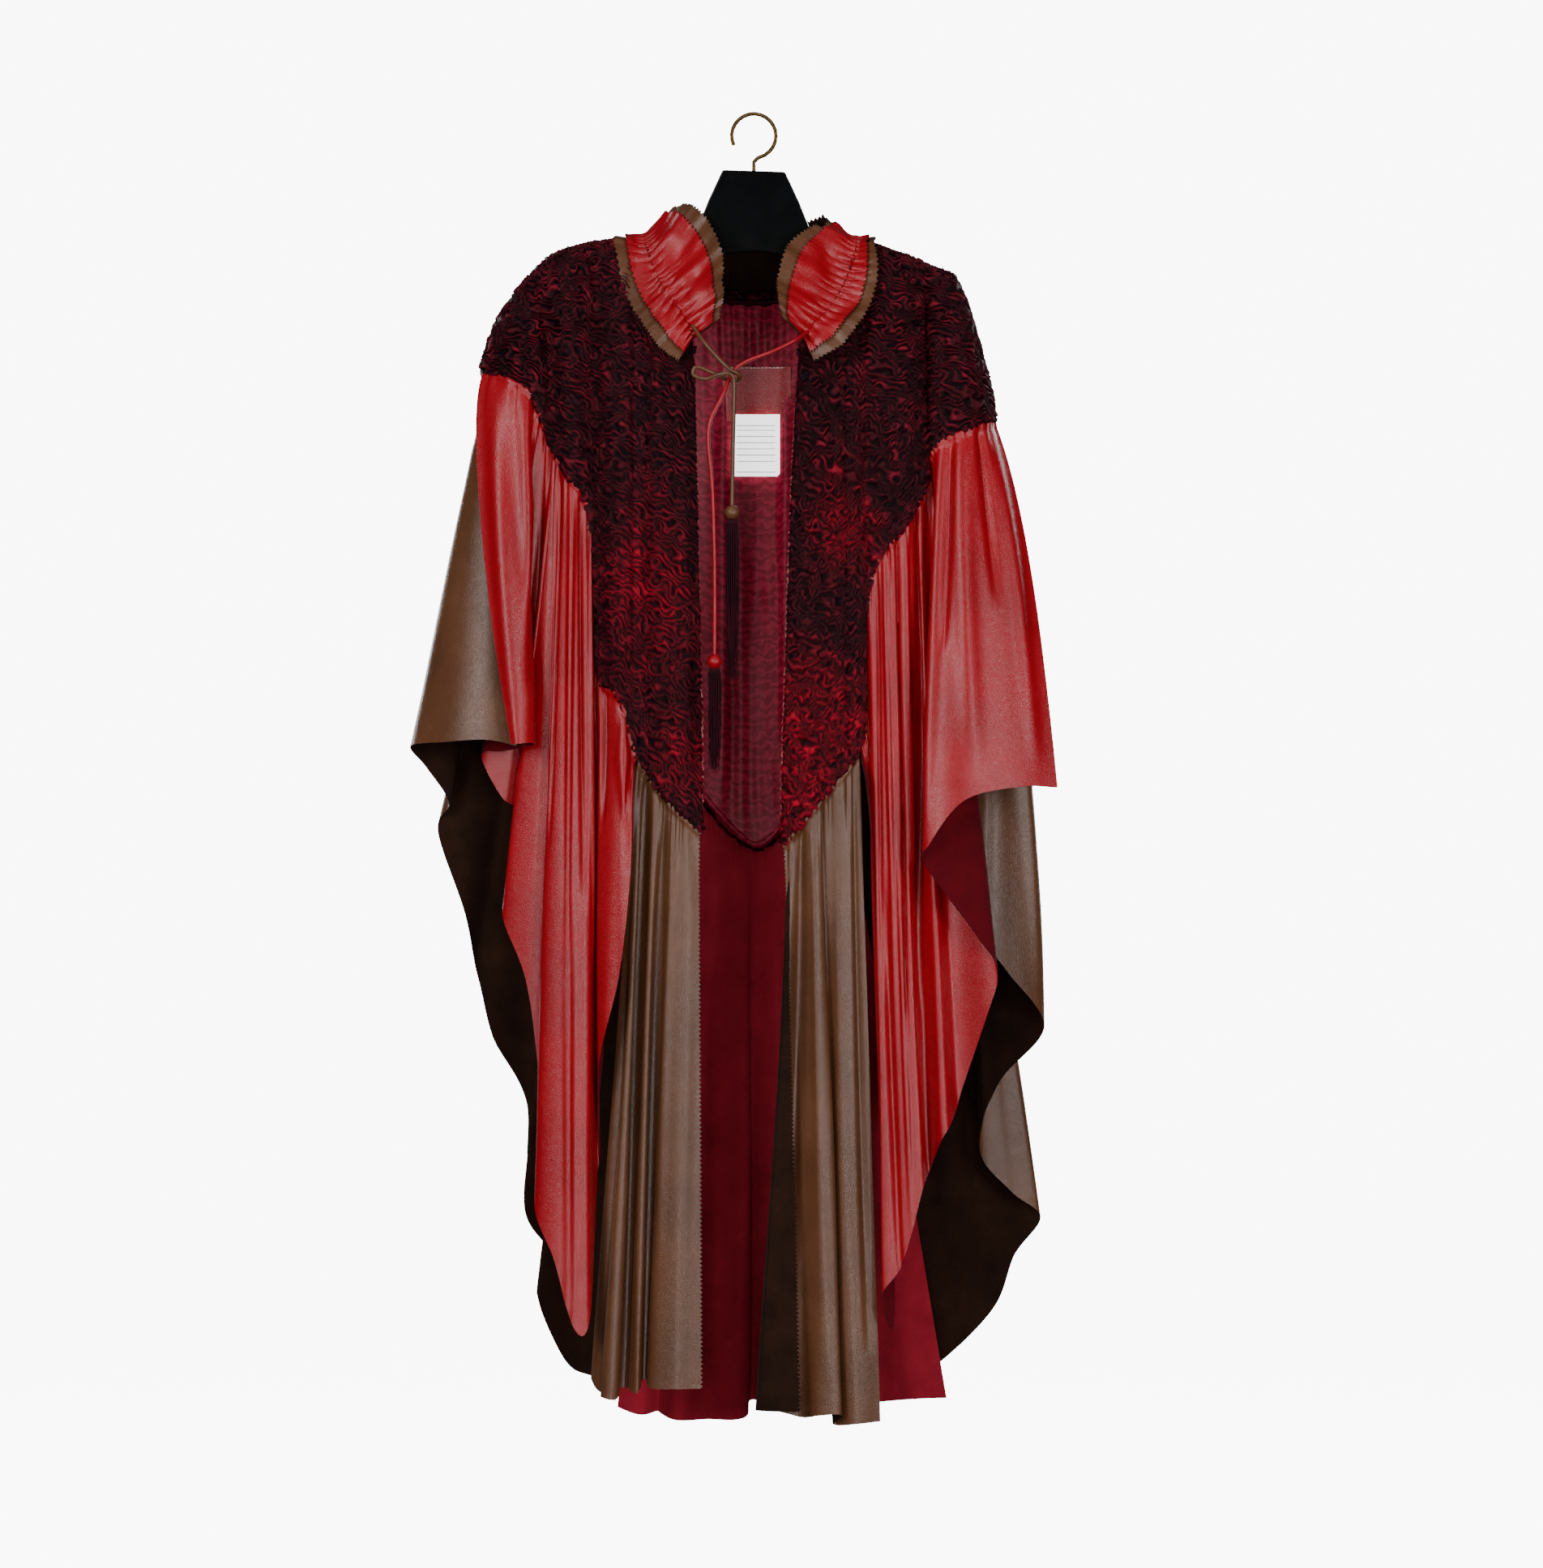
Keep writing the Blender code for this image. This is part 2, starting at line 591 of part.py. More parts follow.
def build():
    clear_scene()
    for name in (COLLECTION, GUIDES):
        bpy.context.scene.collection.children.link(bpy.data.collections.new(name))
    fur = material("curly_lamb", (0.05, 0.005, 0.01), 0.9)
    red = material("red_leather", (0.36, 0.02, 0.03), 0.4)
    brown = material("brown_leather", (0.1, 0.055, 0.035), 0.45)
    lining = material("lining", (0.14, 0.01, 0.03), 0.5)
    paper = material("label", (0.8, 0.8, 0.78), 0.8)
    black = material("black_gloss", (0.01, 0.01, 0.015), 0.25)
    brass = material("brass", (0.6, 0.42, 0.15), 0.3, 1.0)

    sheet("yoke_front_left", yoke_grid(YOKE_FRONT_LEFT), FUR_WALL, fur)
    sheet("yoke_front_right", yoke_grid(YOKE_FRONT_RIGHT), FUR_WALL, fur)
    back = yoke_grid(YOKE_BACK)
    sheet("yoke_back", back[:, ::-1], FUR_WALL, fur)

    inward = FUR_WALL / 2 + LINING_EASE + LINING_WALL / 2
    lined = back[2:, 5:16] + grid_normals(back)[2:, 5:16] * inward
    sheet("lining_back", lined, LINING_WALL, lining)
    facing_lift = inward + LINING_WALL / 2 + GAP * 2 + LEATHER_WALL / 2
    patch("neck_facing", -31, 37, -246, -301, facing_lift, LEATHER_WALL, red)
    label_lift = facing_lift + LEATHER_WALL / 2 + GAP * 2 + LINING_WALL / 2
    patch("label", -21, 26, -294, -356, label_lift, LINING_WALL, paper)

    sheet("flounce_red_front_left", flounce_grid(RED_FRONT_LEFT, YOKE_FRONT_LEFT), LEATHER_WALL, red)
    sheet("flounce_red_front_right", flounce_grid(RED_FRONT_RIGHT, YOKE_FRONT_RIGHT), LEATHER_WALL, red)
    sheet("flounce_brown_front_left", flounce_grid(BROWN_FRONT_LEFT, YOKE_FRONT_LEFT),
          LEATHER_WALL, brown)
    sheet("flounce_brown_front_right", flounce_grid(BROWN_FRONT_RIGHT, YOKE_FRONT_RIGHT),
          LEATHER_WALL, brown)
    sheet("flounce_brown_back_left", flounce_grid(BROWN_BACK_LEFT, YOKE_BACK), LEATHER_WALL, brown)
    sheet("flounce_red_back", flounce_grid(RED_BACK, YOKE_BACK), LEATHER_WALL, red)
    sheet("flounce_brown_back_right", flounce_grid(BROWN_BACK_RIGHT, YOKE_BACK), LEATHER_WALL, brown)

    sheet("ruffle_red", collar_grid(RED_REACH, 0.0), LEATHER_WALL, red)
    sheet("ruffle_brown", collar_grid(BROWN_REACH, UNDER_DROP), LEATHER_WALL, brown)

    hanger(black)
    hook(brass)
    tie("tie_brown", BROWN_TIE, brown)
    tie("tie_red", RED_TIE, red)
    brown_foot = bead("bead_brown", BROWN_TIE[-1], brown)
    red_foot = bead("bead_red", RED_TIE[-1], red)
    tassel("tassel_brown", BROWN_TIE[-1], brown_foot, BROWN_TASSEL, lining)
    tassel("tassel_red", RED_TIE[-1], red_foot, RED_TASSEL, lining)


build()
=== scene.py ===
"""Looks of a leather cape with a curly lamb yoke, hung on a black shop hanger.

The cape's surfaces are the CAD's own lofts, worked out again on finer grids, with the gathers,
creases, pinked edges and fur that its solids leave out. Lengths are metres: x to the wearer's
left, y to the back, z up from the inside top of the hook. Tables are in millimetres times MM.
"""

import itertools
import logging
import math
from dataclasses import dataclass, field
from enum import Enum

import bpy
import numpy as np
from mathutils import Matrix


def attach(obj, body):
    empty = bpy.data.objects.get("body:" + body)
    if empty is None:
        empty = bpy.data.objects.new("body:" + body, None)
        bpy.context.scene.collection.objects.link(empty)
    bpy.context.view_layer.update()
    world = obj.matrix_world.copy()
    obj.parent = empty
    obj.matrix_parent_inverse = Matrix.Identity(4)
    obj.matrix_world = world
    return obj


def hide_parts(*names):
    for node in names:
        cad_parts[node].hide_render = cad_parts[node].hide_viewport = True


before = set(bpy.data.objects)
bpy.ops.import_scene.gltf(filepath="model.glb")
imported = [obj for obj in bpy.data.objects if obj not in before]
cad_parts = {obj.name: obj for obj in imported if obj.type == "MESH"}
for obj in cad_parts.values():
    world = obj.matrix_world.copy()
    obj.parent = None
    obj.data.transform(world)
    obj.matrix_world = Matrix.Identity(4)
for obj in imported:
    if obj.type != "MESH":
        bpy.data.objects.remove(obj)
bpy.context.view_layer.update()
LOG = logging.getLogger("cape")

MM = 0.001
BODY = "root"
GAP = 0.35 * MM
SEAM_GAP = 0.9 * MM
STEEP_GAP = 0.9 * MM
SEAM_FLAT = 3.0 * MM
FOLD_OPENING = 0.85
BOW_SHAPE = 2.6
FUR_WALL = 6.0 * MM
LEATHER_WALL = 1.2 * MM
LINING_WALL = 1.0 * MM
LINING_EASE = 2.3 * MM
RIDGE_FLAT = 5.0 * MM
RIDGE_GAP = 0.2 * MM
NECK_DEPTH = 12.0 * MM
YOKE_SHOULDER = 3
YOKE_DROP = 1.5
CORD_THICK = 4.0 * MM
BEAD_THICK = 15.0 * MM
BEAD_HEIGHT = 13.0 * MM
RUFFLE_WAVE = 4.0 * MM
LINE_WAVE = 0.15
RED_REACH = (0.66, 0.8)
BROWN_REACH = (1.03, 1.03)
UNDER_DROP = 3.7 * MM

# The fur panels: top x, y, z on the shoulder ridge or neck, then foot x, y, z on the seam.
YOKE_FRONT_LEFT = MM * np.array([
    (-259, 0, -226, -266, -8, -254), (-250, 0, -204, -242, -26, -259),
    (-232, 0, -178, -218, -33, -275), (-220, 0, -164, -207, -31, -305),
    (-206, 0, -149, -197, -36, -330), (-192, 0, -141, -179, -46, -361),
    (-176, 0, -135, -163, -40, -388), (-166, 0, -133, -155, -36, -470),
    (-156, 0, -131, -150, -44, -556), (-135, 0, -130, -131, -60, -575),
    (-108, -3, -134, -115, -56, -634), (-100, -15, -160, -103, -50, -652),
    (-88, -28, -188, -86, -58, -674), (-75, -40, -214, -68, -62, -693),
    (-62, -48, -238, -54, -58, -706),
])
YOKE_FRONT_RIGHT = MM * np.array([
    (48, -48, -238, 30, -58, -719), (62, -40, -214, 46, -62, -700),
    (78, -28, -188, 72, -60, -668), (92, -15, -160, 103, -53, -624),
    (101, -3, -139, 107, -44, -540), (116, 0, -133, 114, -46, -456),
    (136, 0, -140, 138, -50, -418), (152, 0, -145, 162, -42, -380),
    (168, 0, -152, 172, -28, -350), (180, 0, -158, 182, -38, -324),
    (197, 0, -166, 206, -42, -312), (210, 0, -202, 226, -30, -304),
    (224, 0, -254, 236, -10, -303),
])
YOKE_BACK = MM * np.array([
    (-259, 0, -226, -266, 8, -254), (-250, 0, -204, -242, 24, -266),
    (-232, 0, -178, -218, 36, -306), (-206, 0, -149, -190, 44, -368),
    (-176, 0, -135, -162, 52, -436), (-142, 0, -130, -132, 44, -508),
    (-108, 3, -134, -104, 56, -572), (-95, 19, -154, -76, 62, -632),
    (-62, 36, -172, -48, 56, -680), (-30, 40, -178, -20, 62, -712),
    (0, 42, -180, 4, 64, -726), (28, 40, -178, 28, 62, -708),
    (56, 36, -172, 56, 56, -672), (84, 19, -154, 84, 62, -626),
    (101, 3, -139, 112, 56, -560), (120, 0, -134, 134, 46, -495),
    (168, 0, -152, 168, 52, -430), (197, 0, -166, 196, 42, -372),
    (210, 0, -202, 220, 30, -326), (224, 0, -254, 236, 10, -303),
])

# The flounces: station along the seam in the yoke's rows, then hem x, y, z and bow.
FOLD_UNITS = np.array([1, MM, MM, MM, MM])
RED_FRONT_LEFT = FOLD_UNITS * np.array([
    (0, -237, -82, -625, -15), (1, -230, -86, -625, -8), (2, -219, -78, -624, 0),
    (2.25, -217, -62, -626, 0), (2.5, -246, -45, -632, 0), (2.75, -269, -36, -636, 0),
    (3, -249, -26, -678, 0), (3.25, -228, -20, -694, 0), (3.5, -226, -30, -750, 0),
    (3.75, -247, -36, -792, 0), (4, -222, -50, -866, 0), (4.25, -208, -56, -1010, 0),
    (4.5, -215, -78, -1078, 0), (5, -195, -92, -1130, 0), (5.5, -176, -94, -1196, 0),
    (6, -160, -90, -1186, 0), (7, -153, -56, -1040, 0), (8, -151, -84, -940, 0),
    (9, -131, -90, -850, 0), (9.5, -120, -84, -750, 0), (10, -118, -74, -662, 0),
])
BROWN_FRONT_LEFT = FOLD_UNITS * np.array([
    (10.04, -160, -52, -1250, 0), (10.25, -154, -64, -1262, 0), (10.5, -149, -76, -1266, 0),
    (10.75, -134, -78, -1268, 0), (11, -129, -58, -1258, 0), (11.5, -114, -76, -1262, 0),
    (12, -107, -56, -1250, 0), (12.5, -102, -76, -1257, 0), (13, -78, -84, -1257, 0),
    (14, -52, -80, -1257, 0),
])
BROWN_FRONT_RIGHT = FOLD_UNITS * np.array([
    (0, 44, -94, -1278, 0), (0.3, 22, -92, -1278, 0), (0.5, 4, -84, -1278, 0),
    (0.7, 24, -74, -1280, 0), (1, 48, -72, -1286, 0), (1.4, 64, -84, -1283, 0),
    (1.7, 86, -86, -1282, 0), (2, 80, -66, -1294, 0), (2.5, 100, -78, -1292, 0),
    (2.96, 124, -70, -1290, 0),
])
RED_FRONT_RIGHT = FOLD_UNITS * np.array([
    (3, 113, -74, -661, 0), (3.5, 120, -72, -800, 0), (4, 134, -66, -1010, 0),
    (4.5, 137, -76, -1190, 0), (5, 126, -92, -1164, 0), (5.5, 146, -94, -1132, 0),
    (6, 166, -90, -1060, 0), (6.5, 172, -68, -1046, 0), (7, 186, -86, -1010, 0),
    (7.5, 202, -70, -972, 0), (8, 230, -80, -890, 0), (8.5, 240, -84, -846, 0),
    (8.75, 218, -94, -812, 0), (9, 168, -108, -744, 0), (9.5, 172, -118, -722, 0),
    (10, 206, -116, -680, 0), (11, 262, -100, -667, 4), (12, 297, -84, -668, 12),
])
BROWN_BACK_LEFT = FOLD_UNITS * np.array([
    (0, -233, -64, -627, 0), (0.15, -262, -66, -621, -2), (0.3, -302, -54, -623, -5),
    (0.5, -341, -24, -627, -9), (1, -326, 0, -648, -10), (1.5, -304, 8, -683, -4),
    (2, -316, 22, -711, 0), (2.4, -288, 28, -796, 0), (2.7, -276, 44, -860, 0),
    (3, -262, 38, -916, 0), (3.5, -228, 54, -986, 0), (4, -230, 48, -1090, 0),
    (4.5, -207, 72, -1138, 0), (5, -217, 60, -1182, 0), (5.5, -190, 76, -1246, 0),
    (6, -163, 82, -1262, 0), (7, -122, 76, -1274, 0),
])
RED_BACK = FOLD_UNITS * np.array([
    (7.04, -136, 54, -1290, 0), (7.5, -114, 40, -1296, 0), (8, -96, 56, -1294, 0),
    (8.5, -78, 36, -1301, 0), (9, -47, 44, -1301, 0), (9.5, -13, 32, -1299, 0),
    (9.75, -6, 56, -1284, 0), (10, 12, 50, -1284, 0), (10.5, 34, 34, -1290, 0),
    (11, 63, 52, -1290, 0), (11.5, 93, 36, -1286, 0), (12, 128, 50, -1284, 0),
    (12.5, 161, 38, -1280, 0), (12.96, 193, 46, -1280, 0),
])
BROWN_BACK_RIGHT = FOLD_UNITS * np.array([
    (13, 122, 78, -1274, 0), (13.5, 160, 84, -1264, 0), (14, 196, 76, -1240, 0),
    (15, 242, 64, -1190, 0), (15.5, 262, 62, -1138, 0), (16, 287, 50, -1099, 0),
    (16.5, 257, 40, -1072, 0), (17, 226, 30, -1030, 0), (17.5, 243, 12, -963, 0),
    (18, 286, -16, -906, 18), (18.3, 250, -36, -850, 12), (18.6, 212, -46, -800, 0),
    (19, 176, -48, -740, 0),
])

# The neck ruffle: its gathered line, its outer edge and its inner edge, x, y, z each.
COLLAR = MM * np.array([
    (-60, -60, -226, -72, -70, -246, -36, -72, -208),
    (-66, -58, -208, -90, -70, -232, -34, -72, -180),
    (-82, -48, -184, -106, -62, -210, -34, -58, -144),
    (-96, -34, -160, -124, -46, -174, -50, -40, -108),
    (-106, -18, -134, -134, -28, -126, -68, -20, -91),
    (-108, 4, -120, -132, 6, -118, -84, 4, -94),
    (-96, 24, -134, -120, 40, -128, -82, 24, -96),
    (-64, 42, -152, -74, 64, -164, -56, 42, -106),
    (0, 50, -162, 0, 76, -180, 0, 48, -112),
    (58, 42, -152, 66, 64, -164, 50, 42, -106),
    (88, 24, -134, 110, 40, -130, 76, 24, -98),
    (101, 4, -122, 118, 6, -120, 72, 4, -110),
    (102, -18, -136, 116, -32, -132, 60, -20, -112),
    (92, -34, -166, 116, -48, -168, 38, -40, -132),
    (76, -48, -194, 104, -62, -204, 28, -56, -166),
    (58, -58, -212, 86, -70, -230, 26, -70, -190),
    (50, -60, -226, 58, -70, -246, 30, -72, -208),
])

BROWN_TIE = MM * np.array([
    (-60, -63.2, -214), (-48, -78, -232), (-34, -84, -248), (-24, -87, -258), (-14, -84, -264),
    (-16, -77, -270), (-26, -79, -268), (-40, -86, -262), (-56, -86, -256), (-59, -86, -264),
    (-46, -87, -268), (-34, -92, -264), (-22, -94, -264), (-19, -92, -276), (-20, -90, -330),
    (-21, -90, -392),
])
RED_TIE = MM * np.array([
    (54, -61.9, -219), (40, -80, -230), (18, -83, -241), (-6, -81, -250), (-18, -80, -258),
    (-24, -84, -268), (-30, -90, -284), (-44, -94, -318), (-40, -94, -378), (-38, -96, -450),
    (-38, -96, -538),
])


# Plain mathematics

def noise(points: np.ndarray, size: float, seed: int) -> np.ndarray:
    """Smooth value noise: hashed numbers at a lattice's corners, blended with a quintic weight.

    Args:
        points: places, the last axis being x, y, z.
        size: the lattice's step, in the same unit.
        seed: picks one of many patterns.

    Returns:
        One number from -1 to 1 for each place.
    """
    cell = points / size + 31.7 * seed
    base = np.floor(cell).astype(np.int64)
    part = cell - base
    weight = part ** 3 * (part * (part * 6 - 15) + 10)
    total = np.zeros(points.shape[:-1])
    for corner in itertools.product((0, 1), repeat=3):
        at = base + np.array(corner)
        mixed = at[..., 0] * 73856093 ^ at[..., 1] * 19349663 ^ at[..., 2] * 83492791 ^ seed * 7919
        mixed = (mixed ^ (mixed >> 13)) * 1274126177
        value = ((mixed >> 7) & 0xFFFF) / 32767.5 - 1
        share = np.where(np.array(corner) == 1, weight, 1 - weight)
        total += value * np.prod(share, axis=-1)
    return total


def line_noise(along: np.ndarray, size: float, seed: int) -> np.ndarray:
    """The same noise, read along one line of lengths."""
    zero = np.zeros_like(along)
    return noise(np.stack([along, zero + 0.37 * size, zero], axis=-1), size, seed)


def unit(vectors: np.ndarray) -> np.ndarray:
    """Vectors scaled to length 1."""
    return vectors / np.maximum(np.linalg.norm(vectors, axis=-1, keepdims=True), 1e-12)


def through(rows: np.ndarray, at: np.ndarray) -> np.ndarray:
    """Catmull-Rom curve through a table's rows, read at fractional row numbers.

    Args:
        rows: the table, a row for each place on the curve.
        at: the row numbers to read.

    Returns:
        One row of values for each number.
    """
    padded = np.vstack([2 * rows[0] - rows[1], rows, 2 * rows[-1] - rows[-2]])
    index = np.clip(np.floor(at).astype(int), 0, len(rows) - 2)
    t = (at - index)[:, None]
    a, b, c, d = (padded[index + k] for k in range(4))
    cubic = (3 * b - a - 3 * c + d) * t ** 3
    return 0.5 * (2 * b + (c - a) * t + (2 * a - 5 * b + 4 * c - d) * t * t + cubic)


def lengths(grid: np.ndarray, axis: int) -> np.ndarray:
    """How far each grid point lies from its row's (axis 1) or column's (axis 0) first point."""
    steps = np.linalg.norm(np.diff(grid, axis=axis), axis=2)
    return np.insert(np.cumsum(steps, axis=axis), 0, 0.0, axis=axis)


def normals_of(grid: np.ndarray) -> np.ndarray:
    """Cross product of a grid's downward and sideways gradients, to the front where x grows."""
    return unit(np.cross(np.gradient(grid, axis=0), np.gradient(grid, axis=1)))


def yoke_surface(table: np.ndarray, at: np.ndarray, v: np.ndarray) -> np.ndarray:
    """A fur panel's middle, from the ridge, level for RIDGE_FLAT, then down to the seam.

    The fall is level + (foot - level) times 1 - (1 - v)^3 in y, v in x and v^1.5 in z.

    Args:
        table: the panel's rows.
        at: fractional row numbers, one for each column of the grid.
        v: shares of the fall, from 0 to 1.

    Returns:
        A grid of points, a row for the ridge, one halfway to the level row, then one for each v.
    """
    columns = through(table, at)
    top, foot = columns[:, :3].copy(), columns[:, 3:]
    side = np.sign(table[:, 4].mean())
    top[:, 1] += side * RIDGE_GAP
    level = top.copy()
    level[:, 1] += side * RIDGE_FLAT * np.clip(1 - np.abs(top[:, 1]) / NECK_DEPTH, 0.1, 1)
    share = np.stack([v, 1 - (1 - v) ** YOKE_SHOULDER, v ** YOKE_DROP], axis=1)[:, None]
    fall = level[None] + (foot - level)[None] * share
    return np.concatenate([top[None], (top[None] + level[None]) / 2, fall])


def seam_points(table: np.ndarray, stations: np.ndarray) -> np.ndarray:
    """Points just below a yoke's lower edge, where a flounce is sewn on.

    Each lies under the edge by SEAM_GAP and, where the seam stands steep, by up to STEEP_GAP more,
    square to the seam.

    Args:
        table: the yoke panel's rows.
        stations: fractional row numbers of the yoke.

    Returns:
        A point for each station.
    """
    fine = np.linspace(0, len(table) - 1, 12 * (len(table) - 1) + 1)
    last = yoke_surface(table, fine, np.array([(8 / 9) ** 1.3, 1.0]))[-2:]
    tangent = unit(np.gradient(last[1], axis=0))
    down = last[1] - last[0]
    below = unit(down - tangent * np.sum(down * tangent, axis=1, keepdims=True))
    moved = last[1] + below * (SEAM_GAP + STEEP_GAP * tangent[:, 2:] ** 8)
    return np.stack([np.interp(stations, fine, moved[:, k]) for k in range(3)], axis=1)


# Meshes

def mesh_object(name: str, grids: list[np.ndarray], flip: bool = False,
                values: dict | None = None) -> bpy.types.Object:
    """One mesh of one or more grids of points, with a UV map in metres along and down each.

    Args:
        name: the piece's name.
        grids: arrays of rows, columns and x, y, z.
        flip: turns the faces round.
        values: named arrays, a number for each point of the first grid, kept as attributes.

    Returns:
        The object, smooth shaded, at the origin.
    """
    points, quads, maps, start = [], [], [], 0
    for grid in grids:
        rows, columns = grid.shape[:2]
        j, i = np.mgrid[0:rows - 1, 0:columns - 1]
        a = (j * columns + i + start).reshape(-1)
        around = [a, a + columns, a + columns + 1, a + 1]
        quads.append(np.stack(around[::-1] if flip else around, axis=1))
        points.append(grid.reshape(-1, 3))
        maps.append(np.stack([lengths(grid, 1), -lengths(grid, 0)], axis=2).reshape(-1, 2))
        start += rows * columns
    points, quads, maps = np.vstack(points), np.vstack(quads), np.vstack(maps)
    mesh = bpy.data.meshes.new(name)
    mesh.vertices.add(len(points))
    mesh.vertices.foreach_set("co", points.astype(np.float32).ravel())
    mesh.loops.add(quads.size)
    mesh.loops.foreach_set("vertex_index", quads.astype(np.int32).ravel())
    mesh.polygons.add(len(quads))
    mesh.polygons.foreach_set("loop_start", np.arange(0, quads.size, 4, dtype=np.int32))
    mesh.update(calc_edges=True)
    mesh.shade_smooth()
    layer = mesh.uv_layers.new(name="cloth")
    layer.data.foreach_set("uv", maps[quads.ravel()].astype(np.float32).ravel())
    for key, array in (values or {}).items():
        attribute = mesh.attributes.new(key, "FLOAT", "POINT")
        whole = np.zeros(len(points), np.float32)
        whole[:array.size] = array.ravel()
        attribute.data.foreach_set("value", whole)
    made = bpy.data.objects.new(name, mesh)
    bpy.context.scene.collection.objects.link(made)
    return made


def thicken(piece: bpy.types.Object, wall: float, sides: tuple) -> None:
    """Gives a cloth grid its wall, with its own finish on each side and a crisp cut edge.

    Args:
        piece: the cloth's middle, as one open grid.
        wall: its thickness, half to each side.
        sides: the finish outside and, where it differs, the one inside and on the cut edge.
    """
    mesh = piece.data
    for finish in sides:
        mesh.materials.append(finish)
    used = np.empty(len(mesh.loops), np.int32)
    mesh.loops.foreach_get("edge_index", used)
    free = np.bincount(used, minlength=len(mesh.edges)) == 1
    sharp = mesh.attributes.new("sharp_edge", "BOOLEAN", "EDGE")
    sharp.data.foreach_set("value", free)
    solid = piece.modifiers.new("Wall", "SOLIDIFY")
    solid.thickness = wall
    solid.offset = 0.0
    solid.material_offset = len(sides) - 1
    solid.material_offset_rim = len(sides) - 1


def turned(profile: np.ndarray, centre: np.ndarray, sides: int = 32) -> np.ndarray:
    """A profile turned about a vertical line: each radius times cos and sin, at its height.

    Args:
        profile: rows of radius and height.
        centre: where the line stands.
        sides: how many flats make the round.

    Returns:
        A grid with a row for each row of the profile.
    """
    angle = np.linspace(0, 2 * math.pi, sides + 1)
    ring = np.stack([np.cos(angle), np.sin(angle)], axis=1)
    flat = profile[:, None, :1] * ring[None]
    height = np.repeat(profile[:, None, 1:], sides + 1, axis=1)
    return np.concatenate([flat, height], axis=2) + centre


def tube_grid(path: np.ndarray, radius: np.ndarray, sides: int = 10) -> np.ndarray:
    """A tube about a path: circles of the given radii across its direction, closed at its ends.

    Args:
        path: points along the tube's middle.
        radius: its radius at each point.
        sides: how many flats make the round.

    Returns:
        A grid whose first and last rows are the path's two ends.
    """
    ahead = unit(np.gradient(path, axis=0))
    up = np.where(np.abs(ahead[:, 2:]) > 0.8, np.array([[0.0, 1.0, 0.0]]), [[0.0, 0.0, 1.0]])
    across = unit(np.cross(ahead, up))
    over = np.cross(across, ahead)
    angle = np.linspace(0, 2 * math.pi, sides + 1)[None, :, None]
    body = path[:, None] + radius[:, None, None] * (
        np.cos(angle) * across[:, None] + np.sin(angle) * over[:, None])
    first = np.repeat(path[:1, None], sides + 1, axis=1)
    last = np.repeat(path[-1:, None], sides + 1, axis=1)
    return np.concatenate([first, body, last])


def weld(piece: bpy.types.Object) -> None:
    """Merges the doubled points of closed grids, so that seams and poles are closed."""
    merge = piece.modifiers.new("Weld", "WELD")
    merge.merge_threshold = 0.00001


# Finishes

def colour(code: str) -> tuple[float, float, float, float]:
    """The linear colour of an sRGB hex value."""
    parts = [int(code[k:k + 2], 16) / 255 for k in (1, 3, 5)]
    return (*[c / 12.92 if c <= 0.04045 else ((c + 0.055) / 1.055) ** 2.4 for c in parts], 1.0)


def wire(tree: bpy.types.NodeTree, node: bpy.types.Node, inputs: dict) -> None:
    """Sets or links a node's inputs.

    Args:
        tree: the material's tree.
        node: the node.
        inputs: a value, or a socket to link, for each named or numbered input.
    """
    for key, value in inputs.items():
        if isinstance(value, bpy.types.NodeSocket):
            tree.links.new(value, node.inputs[key])
        else:
            node.inputs[key].default_value = value


def add(tree: bpy.types.NodeTree, kind: str, inputs: dict, **settings) -> bpy.types.Node:
    """Adds a node, sets or links its inputs, and sets its own settings.

    Args:
        tree: the material's tree.
        kind: the node's type.
        inputs: a value, or a socket to link, for each named or numbered input.
        settings: the node's own settings.

    Returns:
        The node.
    """
    node = tree.nodes.new(kind)
    for key, value in settings.items():
        setattr(node, key, value)
    wire(tree, node, inputs)
    return node


def cloud(tree: bpy.types.NodeTree, place: bpy.types.NodeSocket, size: float, detail: float,
          roughness: float, distortion: float = 0.0) -> bpy.types.NodeSocket:
    """Adds noise.

    Args:
        tree: the material's tree.
        place: the coordinates.
        size: how large its spots are.
        detail: how many finer layers it has.
        roughness: how strong each is beside the one before.
        distortion: how far it is swirled.

    Returns:
        The socket with its value.
    """
    return add(tree, "ShaderNodeTexNoise", {
        "Vector": place, "Scale": 1 / size, "Detail": detail, "Roughness": roughness,
        "Distortion": distortion,
    }).outputs["Fac"]


def relief(tree: bpy.types.NodeTree, height: bpy.types.NodeSocket, strength: float,
           distance: float, under: bpy.types.NodeSocket | None = None) -> bpy.types.NodeSocket:
    """Adds a bump.

    Args:
        tree: the material's tree.
        height: the socket that drives it.
        strength: how much of it shows, from 0 to 1.
        distance: its height.
        under: a broader bump's normal that it lies on.

    Returns:
        The socket with the normal.
    """
    inputs = {"Height": height, "Strength": strength, "Distance": distance}
    if under is not None:
        inputs["Normal"] = under
    return add(tree, "ShaderNodeBump", inputs).outputs["Normal"]


def ramp(tree: bpy.types.NodeTree, value: bpy.types.NodeSocket,
         stops: list) -> bpy.types.NodeSocket:
    """A colour ramp.

    Args:
        tree: the material's tree.
        value: the socket that drives it.
        stops: a place from 0 to 1 and a hex colour for each stop.

    Returns:
        The socket with its colour.
    """
    node = add(tree, "ShaderNodeValToRGB", {"Fac": value})
    elements = node.color_ramp.elements
    while len(elements) < len(stops):
        elements.new(0.5)
    for element, (place, code) in zip(elements, stops):
        element.position = place
        element.color = colour(code)
    return node.outputs["Color"]


